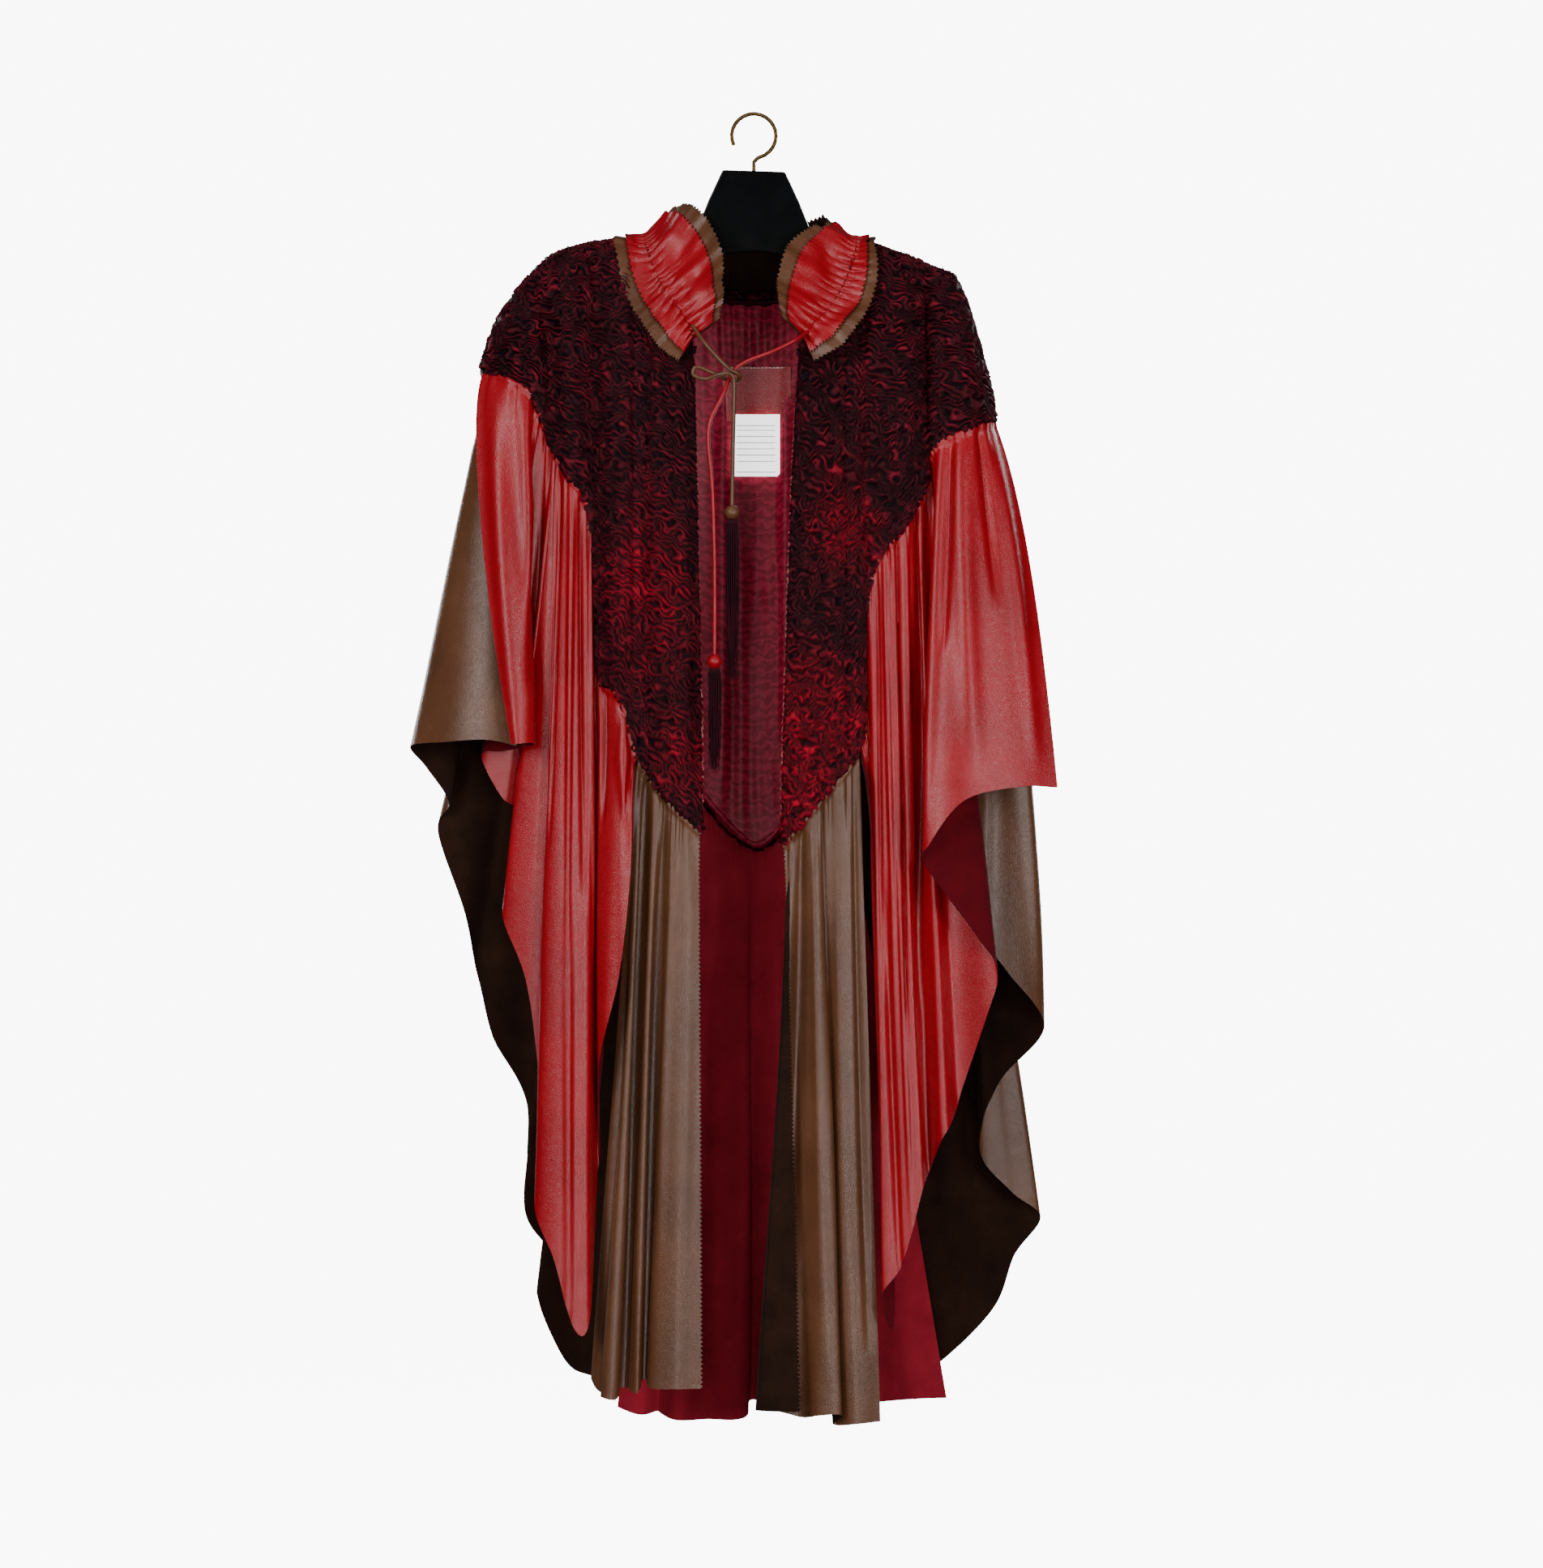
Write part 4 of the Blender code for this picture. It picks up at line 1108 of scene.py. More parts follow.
@dataclass
class FurPanel:
    """A yoke panel: a curly pile on its skin, with the lining or the skin inside."""

    name: str
    table: np.ndarray
    flat: tuple[float, float]
    area: float
    columns: int
    rows: int
    partings: list[Crease]
    inner: Finish
    painted_light_spots: list[tuple[float, float, float, float]]

    def base(self, columns: int, rows: int) -> tuple:
        """The panel's middle and outward normals on a grid, with its partings sunk.

        Args:
            columns: how many across.
            rows: how many down, besides the two on the ridge.

        Returns:
            The points and the normals.
        """
        fine = np.linspace(0, len(self.table) - 1, 1200)
        read = through(self.table, fine)
        steps = np.linalg.norm(np.diff(read[:, 3:], axis=0), axis=1)
        steps += np.linalg.norm(np.diff(read[:, :3], axis=0), axis=1)
        along = np.insert(np.cumsum(steps), 0, 0.0)
        at = np.interp(np.linspace(0, along[-1], columns), along, fine)
        v = np.linspace(0, 1, rows) ** 1.15
        grid = yoke_surface(self.table, at, v)
        side = 1.0 if self.table[:, 4].mean() < 0 else -1.0
        normal = normals_of(grid) * side
        shares = np.concatenate([[0.0, 0.0], v])
        sunk = creased(grid, at, shares, self.partings)
        grid = grid + normal * sunk[..., None]
        return grid, normals_of(grid) * side

    def pile(self) -> bpy.types.Object:
        """The pile: points 3 mm over the middle and more, which roll round each free edge.

        Returns:
            The panel's curls.
        """
        grid, normal = self.base(self.columns, self.rows)
        down = np.gradient(grid, axis=0)
        across = unit(np.gradient(grid, axis=1))
        down = unit(down - across * np.sum(down * across, axis=2, keepdims=True))
        place, aim = round_edge(grid, normal, down, 0, True)
        added = len(ROUND_ANGLES)
        widened = np.concatenate([across, np.repeat(across[-1:], added, axis=0)])
        place, aim = round_edge(place, aim, widened, 1, True)
        widened = np.concatenate([widened, np.repeat(widened[:, -1:], added, axis=1)], axis=1)
        place, aim = round_edge(place, aim, -widened, 1, False)
        curl = curls(place + aim * 6 * MM)
        lumps = 0.5 + 0.5 * noise(place, LUMP_SIZE, 60)
        reach = FUR_WALL / 2 - 0.6 * MM + CURL_HEIGHT * curl + FUR_SPREAD * lumps * 0.5
        points = place + aim * reach[..., None]
        across_way = unit(np.gradient(points, axis=1))
        points = points + across_way * (CURL_DRIFT * noise(points, 5 * MM, 61))[..., None]
        # Painted light: the pile is painted brighter in soft round spots, each at x, z with its
        # radius and power.
        glow = np.zeros(curl.shape)
        for x, z, radius, power in self.painted_light_spots:
            away = (points[..., 0] - x * MM) ** 2 + (points[..., 2] - z * MM) ** 2
            glow += power * np.exp(-away / (radius * MM) ** 2)
        back = self.table[:, 4].mean() > 0
        # The curl attribute drives the painted shade in the partings and the painted highlight on
        # the tips.
        piece = mesh_object(self.name + "_curls", [points], flip=back,
                            values={"curl": curl ** 1.5, "glow": np.clip(glow, 0, 1)})
        piece.data.materials.append(DYES.get(Finish.FUR))
        return report(piece)

    def build(self) -> bpy.types.Object:
        """Makes the panel's skin and the pile on it.

        Returns:
            The skin.
        """
        pile = self.pile()
        grid, normal = self.base(self.columns // 6, self.rows // 6)
        back = self.table[:, 4].mean() > 0
        skin = mesh_object(self.name + "_skin", [grid - normal * 2.0 * MM], flip=back)
        thicken(skin, LEATHER_WALL, (DYES.get(Finish.SKIN), DYES.get(self.inner)))
        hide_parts(self.name)
        return report(skin)


# A panel's last list holds its spots of painted light: x, z, radius and power.
FUR_PANELS = [
    FurPanel("yoke_front_left", YOKE_FRONT_LEFT, (0.24, 0.6), 0.07, 214, 390, [
        Crease(3.3, 0.1, 1.4, 6, -4), Crease(7.2, 0.05, 1.5, 6, -7), Crease(9.6, 0.05, 1.1, 7, -5),
        Crease(5.2, 0.2, 1.3, 12, 3), Crease(11.5, 0.1, 0.9, 12, 3),
    ], Finish.LINING, [(-104, -466, 55, 0.7), (-130, -560, 45, 0.35), (-62, -640, 50, 0.6),
                       (-100, -370, 50, 0.3), (-60, -540, 40, 0.3)]),
    FurPanel("yoke_front_right", YOKE_FRONT_RIGHT, (0.24, 0.6), 0.067, 214, 390, [
        Crease(4.7, 0.02, 1.4, 6, -7), Crease(8.2, 0.05, 1.4, 6, -6), Crease(2.6, 0.1, 1.2, 9, -3),
        Crease(6.4, 0.1, 1.3, 13, 3), Crease(10.3, 0.2, 1.2, 12, 2),
    ], Finish.LINING, [(92, -420, 50, 0.65), (50, -560, 60, 0.4), (42, -680, 60, 0.75),
                       (80, -600, 50, 0.5), (80, -340, 40, 0.3)]),
    FurPanel("yoke_back", YOKE_BACK, (0.52, 0.6), 0.184, 260, 215, [
        Crease(4.5, 0.05, 1.2, 8, -5), Crease(8.0, 0.1, 1.3, 9, -4), Crease(12.0, 0.05, 1.2, 8, -5),
        Crease(15.3, 0.1, 1.3, 8, -5), Crease(10.0, 0.1, 1.2, 16, 3), Crease(6.2, 0.2, 1.2, 14, 3),
    ], Finish.SKIN, [(-60, -600, 90, 0.35), (40, -520, 90, 0.3), (120, -350, 70, 0.2)]),
]


# The ruffled neck. Its puckers, puffs, looser crumples and the raised channel of its drawstring.

PUCKER = 3.8 * MM
PUCKER_PITCH = 8 * MM
PUCKER_REACH = 11 * MM
PUFF = 6.5 * MM
PUFF_SIZE = 38 * MM
PUFF_PLACE = 26 * MM
PUFF_WIDTH = 34 * MM
CRUMPLE = 3.2 * MM
CRUMPLE_SIZE = 19 * MM
CHANNEL = 1.8 * MM
CHANNEL_WIDTH = 3.0 * MM
TOOTH_COLUMNS = 4


@dataclass
class NeckRuffle:
    """One layer of the neck ruffle, puckered along its drawstring line and pinked at both edges."""

    name: str
    reach: tuple[float, float]
    drop: float
    grain: Finish
    flesh: Finish
    slot: str
    area: float
    columns: int = 481
    rows: int = 23

    def surface(self) -> np.ndarray:
        """The CAD's ruffle, with its waves rounded, puckers by the line and teeth at the edges.

        A pucker is a rounded ridge with a sharp parting, |sin| of the line's length over its
        pitch, that fades as exp(-(distance / reach)^1.4). Beyond it a few broad puffs, noise along
        the line, swell and then flatten towards the free edges.

        Returns:
            A grid from the outer free edge, over the line, to the inner one.
        """
        at = np.linspace(0, len(COLLAR) - 1, self.columns)
        read = through(COLLAR, at)
        line, outer, inner = read[:, :3], read[:, 3:6], read[:, 6:]
        t = np.linspace(-1, 1, self.rows)
        t = np.sign(t) * np.abs(t) ** 1.3
        outside = t[:, None] < 0
        edge = np.where(outside[..., None], outer[None], inner[None])
        share = np.abs(t)[:, None] * np.where(outside, *self.reach)
        tooth = np.zeros((self.rows, self.columns))
        half = TOOTH_COLUMNS / 2
        tooth[[0, -1]] = np.abs(np.arange(self.columns) % TOOTH_COLUMNS - half) / half
        reach = np.linalg.norm(edge - line[None], axis=2)
        grid = line[None] + (edge - line[None]) * (share + tooth * PINK_DEPTH / reach)[..., None]
        normals = normals_of(grid)
        run = lengths(line[None], 1)[0]
        away = share * reach
        fullness = LINE_WAVE + (1 - LINE_WAVE) * share
        uneven = 0.12 + 0.12 * line_noise(run, 45 * MM, 71)
        wave = np.cos(4 * math.pi * at) * uneven * fullness * RUFFLE_WAVE
        puff = line_noise(run, PUFF_SIZE, 76) + 0.35 * line_noise(run, 17 * MM, 77)
        swell = np.clip(away / (20 * MM), 0, 1)
        swell = swell * np.exp(-((away - PUFF_PLACE) / PUFF_WIDTH) ** 2)
        wander = run + 6 * MM * line_noise(run, 17 * MM, 72)
        pucker = 2 * np.abs(np.sin(math.pi * wander / PUCKER_PITCH)) ** 0.7 - 1.2
        strength = np.exp(-(away / PUCKER_REACH) ** 1.4)
        strength = strength * (0.8 + 0.6 * line_noise(run, 18 * MM, 73))
        channel = CHANNEL * np.exp(-(away / CHANNEL_WIDTH) ** 2)
        loose = CRUMPLE * noise(grid, CRUMPLE_SIZE, 74) * np.clip(away / (15 * MM), 0, 1)
        lift = PUCKER * pucker * strength + PUFF * puff * swell + loose + channel
        return grid - normals * (wave + self.drop - lift)[..., None]

    def build(self) -> bpy.types.Object:
        """Makes the ruffle with its grain side up.

        Returns:
            The ruffle.
        """
        piece = mesh_object(self.name + "_leather", [self.surface()])
        thicken(piece, LEATHER_WALL, (DYES.get(self.grain), DYES.get(self.flesh)))
        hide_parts(self.name)
        return report(piece)


# The inside of the back

class BackDepth:
    """The back yoke's middle as y over x and z, a quadratic fitted to its points near the neck."""

    def __init__(self) -> None:
        """Fits y = a + bx + cz + dx^2 + exz + fz^2 by least squares."""
        grid = yoke_surface(YOKE_BACK, np.linspace(8, 12.5, 60), np.linspace(0.02, 0.6, 80))
        points = grid[2:].reshape(-1, 3)
        near = points[(points[:, 2] < -235 * MM) & (points[:, 2] > -375 * MM)]
        self.terms = np.linalg.lstsq(self.basis(near[:, 0], near[:, 2]), near[:, 1], rcond=None)[0]

    @staticmethod
    def basis(x: np.ndarray, z: np.ndarray) -> np.ndarray:
        """The fit's six terms at each point."""
        return np.stack([np.ones_like(x), x, z, x * x, x * z, z * z], axis=-1)

    def at(self, x: np.ndarray, z: np.ndarray) -> np.ndarray:
        """The middle's y at each point."""
        return self.basis(x, z) @ self.terms


@dataclass
class BackInside:
    """The lining with its gathered heading, the facing under it and the sewn label."""

    inward: float = FUR_WALL / 2 + LINING_EASE + LINING_WALL / 2
    columns: int = 120
    rows: int = 80

    def lining(self) -> bpy.types.Object:
        """Hangs the lining inside the back yoke, with soft folds that rise towards the front.

        Its heading is small pleats, |sin| of the width over their pitch, that fade as
        exp(-(drop / HEADING)^2), with a sewn rib across them.

        Returns:
            The lining.
        """
        at = np.linspace(5, 15, self.columns)
        v = np.linspace(0, 1, self.rows)
        grid = yoke_surface(YOKE_BACK, at, v)[2:]
        normal = normals_of(grid)
        across, drop = lengths(grid, 1), lengths(grid, 0)
        x = grid[..., 0]
        folds = np.zeros(x.shape)
        for place, width, height, first, last in LINING_FOLDS:
            fade = np.clip((drop - first * MM) / FOLD_FADE, 0, 1)
            fade = fade * np.clip((last * MM - drop) / FOLD_FADE, 0, 1)
            folds += height * MM * fade * np.exp(-((x - place * MM) / (width * MM)) ** 2)
        head = np.exp(-(drop / HEADING) ** 2)
        wander = across[:1] + 3 * MM * line_noise(across[0], 14 * MM, 85)
        pleat = np.abs(np.sin(math.pi * wander / HEADING_PITCH)) ** 0.7
        uneven = 0.6 + 0.5 * line_noise(across[0], 17 * MM, 81)
        rib = np.exp(-((drop - 22 * MM) / (2.2 * MM)) ** 2) * 1.2 * MM
        slack = 1.2 * MM * noise(grid * np.array([1, 1, 0.35]), 22 * MM, 82)
        tail = np.exp(-drop / (110 * MM)) * 1.6 * MM
        soft = np.sin(2 * math.pi * across[:1] / (16 * MM) + 2 * line_noise(across[0], 40 * MM, 83))
        lift = self.inward + folds + HEADING_HEIGHT * head * pleat * uneven - rib + np.abs(slack)
        lift = lift + tail * (1 + soft)
        grid = grid + normal * lift[..., None]
        piece = mesh_object("lining_silk", [grid])
        thicken(piece, 0.6 * MM, (DYES.get(Finish.LINING), DYES.get(Finish.SKIN)))
        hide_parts("lining_back")
        self.hem = grid[-1]
        return report(piece)

    def hem_roll(self) -> bpy.types.Object:
        """Rolls the lining's lower edge, as a lumpy tube along it.

        Returns:
            The roll.
        """
        path = self.hem + np.array([0, -1.0 * MM, 1.0 * MM])
        run = lengths(path[None], 1)[0]
        radius = 3.0 * MM + 1.0 * MM * line_noise(run, 9 * MM, 84)
        piece = mesh_object("lining_hem", [tube_grid(path, radius, 12)])
        weld(piece)
        piece.data.materials.append(DYES.get(Finish.LINING))
        return report(piece)

    def patch(self, box: tuple, lift: float, sag: float, count: int) -> np.ndarray:
        """A nearly flat grid over a box of x and z, that sags forward in two soft bumps.

        Args:
            box: left, right, top and foot in millimetres.
            lift: how far it stands in front of the back's middle.
            sag: the bumps' height.
            count: how many points each way.

        Returns:
            The grid.
        """
        left, right, top, foot = (b * MM for b in box)
        x, z = np.meshgrid(np.linspace(left, right, count), np.linspace(top, foot, count))
        y = DEPTH.at(x, z) - lift
        u = (x - left) / (right - left)
        v = (top - z) / (top - foot)
        left_bump = np.exp(-((u - 0.32) / 0.16) ** 2) * v
        y = y - sag * (left_bump + 0.6 * np.exp(-((u - 0.8) / 0.12) ** 2))
        return np.stack([x, y, z], axis=2)

    def facing(self) -> bpy.types.Object:
        """Makes the leather facing and the white stitches that hold its top edge.

        Returns:
            The facing.
        """
        lift = self.inward + LINING_WALL / 2 + GAP * 2 + LEATHER_WALL / 2 + 1.5 * MM
        grid = self.patch(FACING_BOX, lift, 2.2 * MM, 41)
        piece = mesh_object("neck_facing_leather", [grid])
        thicken(piece, LEATHER_WALL, (DYES.get(Finish.RED), DYES.get(Finish.RED_FLESH)))
        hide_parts("neck_facing")
        line = grid[1] - np.array([0, LEATHER_WALL / 2 + 0.25 * MM, 0])
        stitches = []
        for k in range(STITCHES):
            at = np.linspace(2.3 * k, 2.3 * k + 1.6, 6) + 4
            path = np.stack([np.interp(at, np.arange(41), line[:, c]) for c in range(3)], axis=1)
            bow = np.sin(np.linspace(0, math.pi, 6)) * 0.4 * MM
            path[:, 1] -= bow
            stitches.append(tube_grid(path, 0.45 * MM * np.ones(6), 6))
        thread = mesh_object("facing_stitches", stitches)
        weld(thread)
        thread.data.materials.append(DYES.get(Finish.THREAD))
        report(thread)
        return report(piece)

    def label(self) -> bpy.types.Object:
        """Makes the woven label, blank but for plain ruled lines.

        Returns:
            The label.
        """
        lift = self.inward + LINING_WALL / 2 + GAP * 4 + LEATHER_WALL + LINING_WALL / 2 + 3.6 * MM
        grid = self.patch(LABEL_BOX, lift, 0.9 * MM, 41)
        grid[..., 0] -= np.clip(grid[..., 0] - 26 * MM - 356 * MM - grid[..., 2] + 3 * MM, 0, None)
        piece = mesh_object("label_tape", [grid])
        thicken(piece, 0.5 * MM, (DYES.get(Finish.LABEL),))
        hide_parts("label")
        rules = []
        for row in LABEL_RULES:
            rule = grid[row, 3:37] - np.array([0, 0.3 * MM, 0])
            rules.append(np.stack([rule, rule - np.array([0, 0, 0.7 * MM])]))
        lines = mesh_object("label_rules", rules)
        thicken(lines, 0.08 * MM, (DYES.get(Finish.PRINT),))
        report(lines)
        return report(piece)


# The lining's soft folds: x, width and height, then the drop where each starts and ends. A box is
# left, right, top and foot, all in millimetres.
LINING_FOLDS = [
    (-34, 6, 5, 60, 520), (-14, 9, 4, 210, 560), (34, 7, 6, 70, 480), (18, 8, 3, 230, 540),
    (-70, 12, 5, 60, 420), (66, 11, 5, 80, 430), (4, 7, 3, 300, 560),
]
FOLD_FADE = 60 * MM
HEADING = 30 * MM
HEADING_PITCH = 7.5 * MM
HEADING_HEIGHT = 3.0 * MM
FACING_BOX = (-31, 37, -246, -301)
LABEL_BOX = (-21, 26, -294, -356)
LABEL_RULES = (7, 10, 14, 18, 22, 26, 30, 37)
STITCHES = 14
DEPTH = BackDepth()


TRIM_REACH = MM * np.array([-9.0, -3.0, 2.0, 6.2])
TRIM_BEHIND = 3.2 * MM


@dataclass
class FrontTrim:
    """The narrow pinked strip that faces a front edge, a little proud of the fur."""

    name: str
    table: np.ndarray
    last: bool
    start: float
    end: float
    rests: str

    def build(self) -> bpy.types.Object:
        """Makes a strip of four columns, on the panel's inside, with teeth at its free edge.

        Returns:
            The strip.
        """
        row = len(self.table) - 1.0 if self.last else 0.0
        inward = -1.0 if self.last else 1.0
        v = np.linspace(self.start, self.end, 151)
        edge = yoke_surface(self.table, np.array([row, row + 0.5 * inward]), v)[2:]
        out = unit(edge[:, 0] - edge[:, 1])
        behind = np.array([0, TRIM_BEHIND, 0])
        wobble = 1.2 * MM * line_noise(v * 0.5, 0.03, 90)[:, None]
        reach = TRIM_REACH[None, :, None] + wobble[:, None]
        grid = edge[:, :1] + behind + out[:, None] * reach
        grid = grid[:, ::1 if self.last else -1]
        grid = pinked(grid, Edge.LAST if self.last else Edge.FIRST)
        piece = mesh_object(self.name, [grid])
        thicken(piece, 1.0 * MM, (DYES.get(Finish.RED), DYES.get(Finish.RED_FLESH)))
        return report(piece)


# The ties. A tassel's head is a profile of radius and height; a ring has so many strands at so
# many millimetres from the middle.

TASSEL_HEAD = MM * np.array([
    (0, 0), (4.6, -0.2), (5.6, -1.2), (5.2, -2.6), (6.2, -4.2), (0, -4.4),
])
TASSEL_RINGS = ((1, 0.0), (7, 2.2), (12, 4.0), (16, 5.4))


@dataclass
class Tie:
    """A thin leather cord with a turned bead and a tassel at its end."""

    colour: str
    route: np.ndarray
    tassel_length: float
    finish: Finish
    slot: str

    def path(self, step: float) -> np.ndarray:
        """Even points along a smooth curve through the route.

        Args:
            step: about how far apart they lie.

        Returns:
            The points.
        """
        fine = through(self.route, np.linspace(0, len(self.route) - 1, 400))
        run = lengths(fine[None], 1)[0]
        at = np.linspace(0, run[-1], int(run[-1] / step) + 1)
        return np.stack([np.interp(at, run, fine[:, k]) for k in range(3)], axis=1)

    def cord(self, pieces: list) -> bpy.types.Object:
        """The cord itself, one open curve with a round bevel.

        Args:
            pieces: what hangs at its end; not used.

        Returns:
            The cord.
        """
        points = self.path(3 * MM)
        curve = bpy.data.curves.new(f"tie_{self.colour}_cord", "CURVE")
        curve.dimensions = "3D"
        curve.bevel_depth = CORD_THICK / 2
        curve.bevel_resolution = 3
        curve.use_fill_caps = True
        spline = curve.splines.new("POLY")
        spline.points.add(len(points) - 1)
        whole = np.concatenate([points, np.ones((len(points), 1))], axis=1)
        spline.points.foreach_set("co", whole.astype(np.float32).ravel())
        spline.use_smooth = True
        piece = bpy.data.objects.new(curve.name, curve)
        bpy.context.scene.collection.objects.link(piece)
        piece.data.materials.append(DYES.get(self.finish))
        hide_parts(f"tie_{self.colour}")
        return report(piece)

    def bead(self) -> bpy.types.Object:
        """Turns the bead from a profile that swells in the middle, as sin^0.75 of its height.

        Returns:
            The bead.
        """
        end = self.route[-1]
        t = np.linspace(0, 1, 25)
        swell = BEAD_THICK / 2 * (0.45 + 0.55 * np.sin(math.pi * t) ** 0.75)
        profile = np.stack([swell, end[2] - GAP - BEAD_HEIGHT * t], axis=1)
        profile = np.vstack([[(0, profile[0, 1])], profile, [(0, profile[-1, 1])]])
        centre = np.array([end[0], end[1], 0.0])
        piece = mesh_object(f"bead_{self.colour}_turned", [turned(profile, centre)], flip=True)
        weld(piece)
        piece.data.materials.append(DYES.get(self.finish))
        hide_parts(f"bead_{self.colour}")
        return report(piece)

    def tassel(self) -> bpy.types.Object:
        """Makes a bound head, and tapering strands that swing a little and end unevenly.

        Returns:
            The tassel.
        """
        end = self.route[-1]
        top = end[2] - 2 * GAP - BEAD_HEIGHT
        middle = np.array([end[0], end[1], 0.0])
        grids = [turned(TASSEL_HEAD + np.array([0, top]), middle, 20)]
        count = 0
        for strands, reach in TASSEL_RINGS:
            for k in range(strands):
                angle = 2 * math.pi * k / strands + reach
                count += 1
                sway = 0.5 + 0.5 * math.sin(5.3 * count)
                long = self.tassel_length * (0.86 + 0.14 * sway)
                t = np.linspace(0, 1, 12)
                out = reach * MM * (1 + 0.25 * t) * (1 - 0.35 * t * t) + 0.8 * MM * np.sin(
                    6 * t + 2.1 * count)
                path = np.stack([middle[0] + out * math.cos(angle),
                                 middle[1] + out * math.sin(angle),
                                 top - 3.6 * MM - (long - 3.6 * MM) * t], axis=1)
                grids.append(tube_grid(path, MM * (0.75 - 0.35 * t), 5))
        piece = mesh_object(f"tassel_{self.colour}_strands", grids)
        weld(piece)
        piece.data.materials.append(DYES.get(Finish.TASSEL))
        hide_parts(f"tassel_{self.colour}")
        return report(piece)

    def build(self) -> bpy.types.Object:
        """Makes the tassel, and the cord with its bead."""
        self.tassel()
        return self.cord([self.bead()])


# The hanger

@dataclass
class Hanger:
    """The shop hanger: the CAD's own plate, arms and hook in their finishes."""

    parts: dict = field(default_factory=lambda: {"hanger": Finish.GLOSS, "hook": Finish.BRASS})

    def build(self) -> None:
        """Dresses both nodes."""
        for name, finish in self.parts.items():
            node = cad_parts[name]
            node.data.materials.clear()
            node.data.materials.append(DYES.get(finish))
            LOG.info("dressed %s", name)


# The studio. A lamp has a place, a width and height, and watts.

CAPE_MIDDLE = (0.0, 0.0, -0.7)
LAMPS = {
    "window_left": ((-2.1, -3.4, 0.8), (1.2, 2.4), 98),
    "window_right": ((2.2, -3.3, -0.1), (0.9, 2.2), 72),
    "front_strip": ((-0.5, -4.4, -0.95), (0.28, 1.2), 15),
    "front_strip_right": ((0.75, -4.2, -0.8), (0.2, 1.2), 12),
    "front_low": ((0.15, -5.1, -1.6), (1.4, 0.6), 45),
    "top": ((0.0, -0.9, 1.7), (1.4, 0.7), 5),
    "back_left": ((-2.7, 3.0, 0.4), (1.0, 2.0), 75),
    "back_right": ((2.7, 3.0, 0.4), (1.0, 2.0), 75),
}


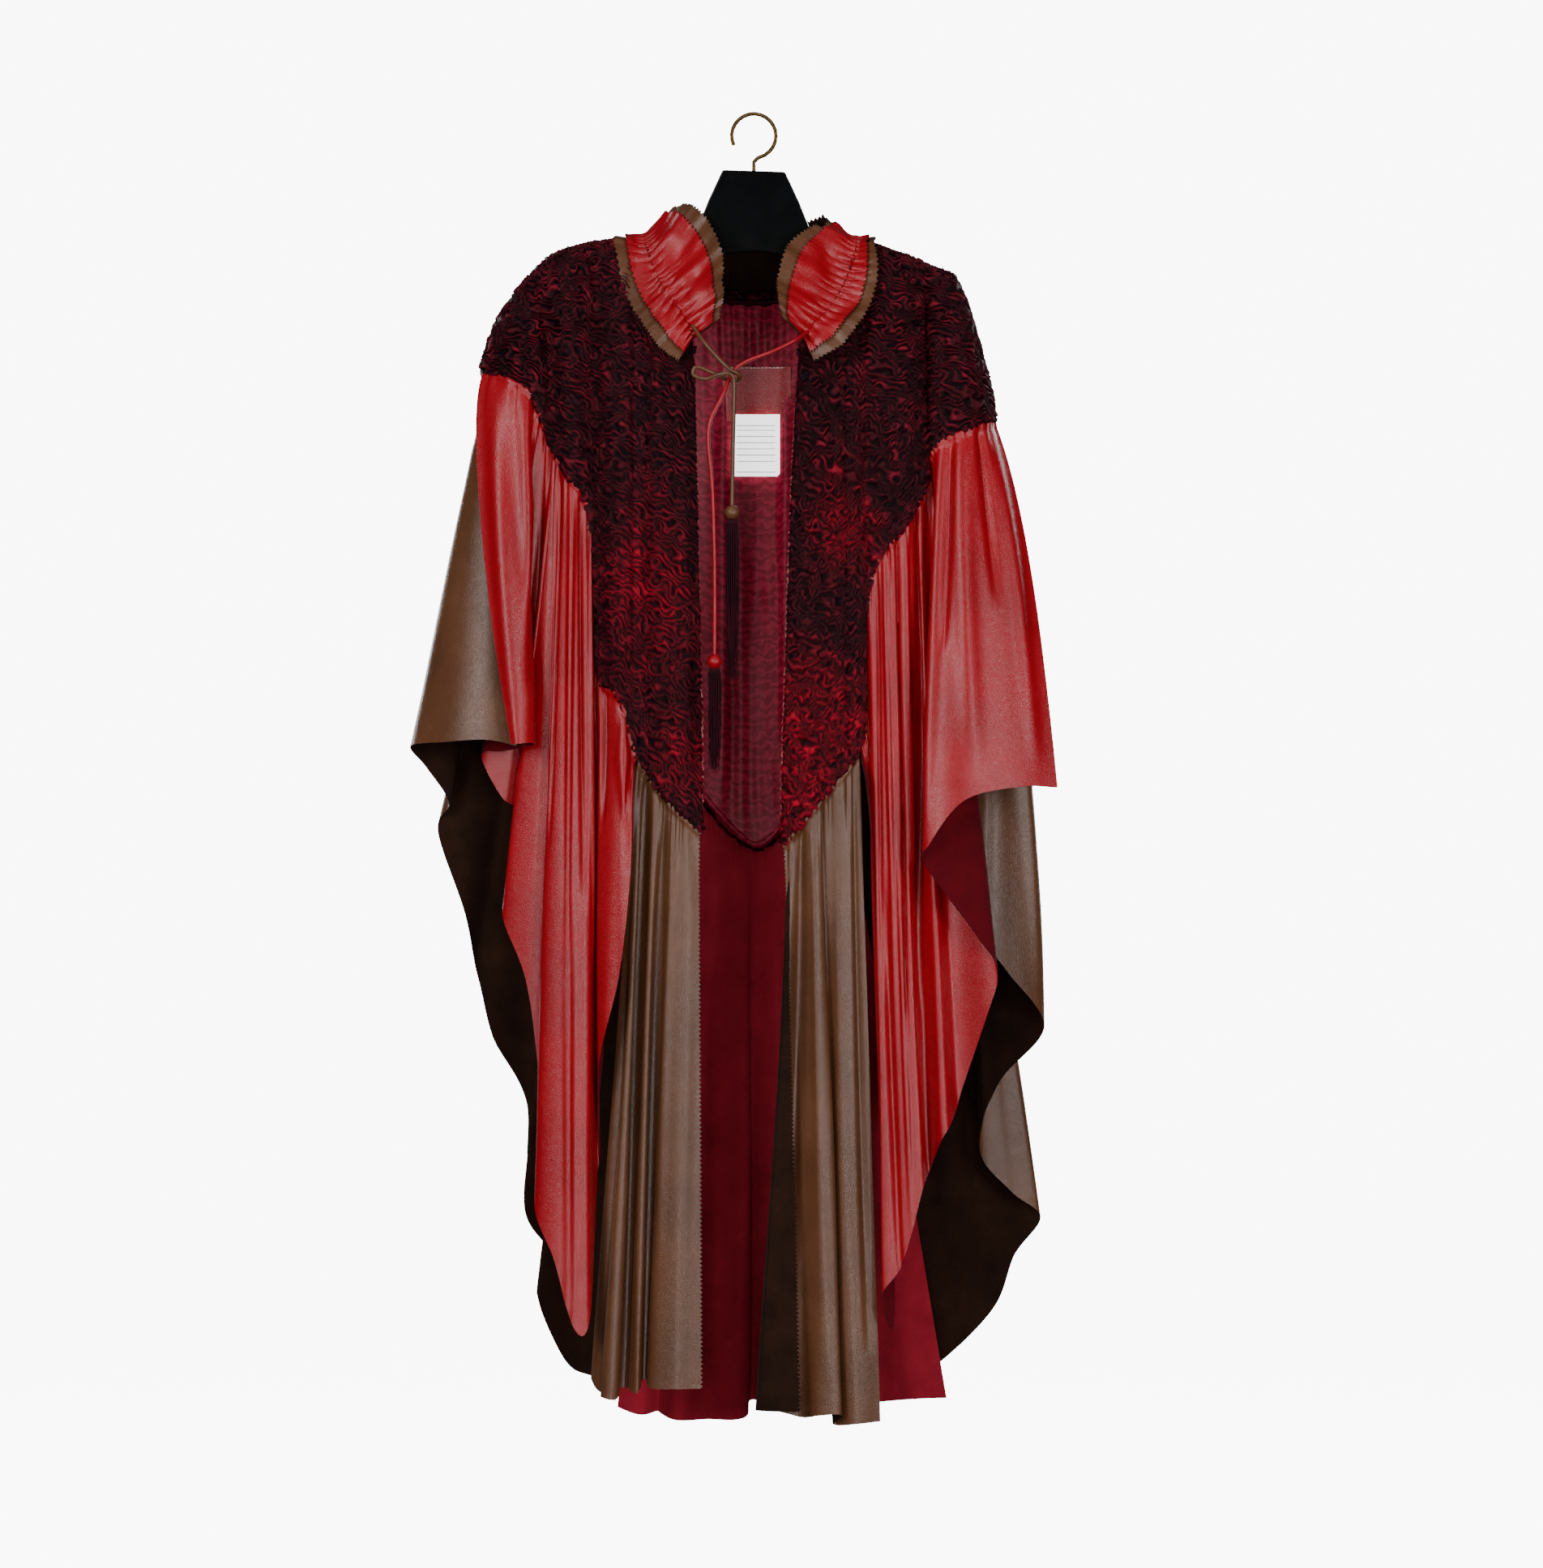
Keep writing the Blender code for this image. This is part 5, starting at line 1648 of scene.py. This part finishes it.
@dataclass
class Studio:
    """A pale floor and wall, soft light and the camera of the photograph."""

    camera_at: tuple[float, float, float] = (0.0176, -5.5, -0.6644)
    lens: float = 127.0
    sweep_steps: int = 80
    sweep_step: float = 0.25
    sweep_start: float = -7.0
    sweep_floor: float = -1.75
    sweep_side: float = 9.0
    sweep_glow: float = 9.0
    world_glow: float = 0.05

    def camera(self) -> None:
        """Sets the camera level, looking along +Y."""
        data = bpy.data.cameras.new("photo_camera")
        data.lens = self.lens
        made = bpy.data.objects.new("photo_camera", data)
        made.location = self.camera_at
        made.rotation_euler = (math.pi / 2, 0.0, 0.0)
        bpy.context.scene.collection.objects.link(made)
        bpy.context.scene.camera = made

    def lamp(self, name: str, place: tuple, size: tuple, power: float) -> None:
        """An area light that faces the cape's middle.

        Args:
            name: its name.
            place: where it stands.
            size: its width and height.
            power: in watts.
        """
        data = bpy.data.lights.new(name, "AREA")
        data.shape = "RECTANGLE"
        data.size, data.size_y = size
        data.energy = power
        made = bpy.data.objects.new(name, data)
        made.location = place
        aim = np.array(CAPE_MIDDLE) - np.array(place)
        flat = math.hypot(aim[0], aim[1])
        made.rotation_euler = (math.pi / 2 + math.atan2(aim[2], flat), 0.0,
                               math.atan2(-aim[0], aim[1]))
        bpy.context.scene.collection.objects.link(made)

    def backdrop(self) -> None:
        """A floor that rises into a wall in one sweep, far behind the cape."""
        s = np.linspace(0, 1, self.sweep_steps)
        bend = np.clip((s - 0.62) / 0.14, 0, 1) * math.pi / 2
        y = np.cumsum(np.cos(bend)) * self.sweep_step + self.sweep_start
        z = np.cumsum(np.sin(bend)) * self.sweep_step + self.sweep_floor
        x = np.linspace(-self.sweep_side, self.sweep_side, 12)
        grid = np.stack(np.broadcast_arrays(x[None, :], y[:, None], z[:, None]), axis=2)
        floor = mesh_object("studio_sweep", [grid], flip=True)
        paper = Plain("studio_paper", "#F7F7F7", "#FCFCFC", 0.9, speck=0.5).build()
        shader = paper.node_tree.nodes["Principled BSDF"]
        shader.inputs["Emission Color"].default_value = (1, 1, 1, 1)
        shader.inputs["Emission Strength"].default_value = self.sweep_glow
        floor.data.materials.append(paper)
        floor.visible_diffuse = False
        floor.visible_glossy = False

    def build(self) -> None:
        """Sets up the lights, the sweep and the world."""
        world = bpy.data.worlds.new("studio_world")
        world.use_nodes = True
        sky = world.node_tree.nodes["Background"]
        sky.inputs["Color"].default_value = (1, 1, 1, 1)
        sky.inputs["Strength"].default_value = self.world_glow
        bpy.context.scene.world = world
        for name, (place, size, power) in LAMPS.items():
            self.lamp(name, place, size, power)
        self.backdrop()


def main() -> None:
    """Builds the camera and the cords first, then the cape, its hanger and the studio."""
    logging.basicConfig(level=logging.INFO, format="%(message)s")
    studio = Studio()
    studio.camera()
    Tie("brown", BROWN_TIE, 156 * MM, Finish.BROWN, "brown_leather").build()
    Tie("red", RED_TIE, 99 * MM, Finish.RED, "red_leather").build()
    for flounce in FLOUNCES:
        flounce.build()
    for panel in FUR_PANELS:
        panel.build()
    NeckRuffle("ruffle_red", RED_REACH, 0.0, Finish.RED, Finish.RED_FLESH, "red_leather",
               0.04).build()
    NeckRuffle("ruffle_brown", BROWN_REACH, UNDER_DROP, Finish.BROWN, Finish.BROWN_FLESH,
               "brown_leather", 0.053).build()
    inside = BackInside()
    inside.lining()
    inside.hem_roll()
    inside.facing()
    inside.label()
    FrontTrim("front_trim_left", YOKE_FRONT_LEFT, True, 0.05, 0.97, "yoke_front_left").build()
    FrontTrim("front_trim_right", YOKE_FRONT_RIGHT, False, 0.05, 0.97,
              "yoke_front_right").build()
    Hanger().build()
    studio.build()
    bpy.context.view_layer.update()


if __name__ == "__main__":
    main()
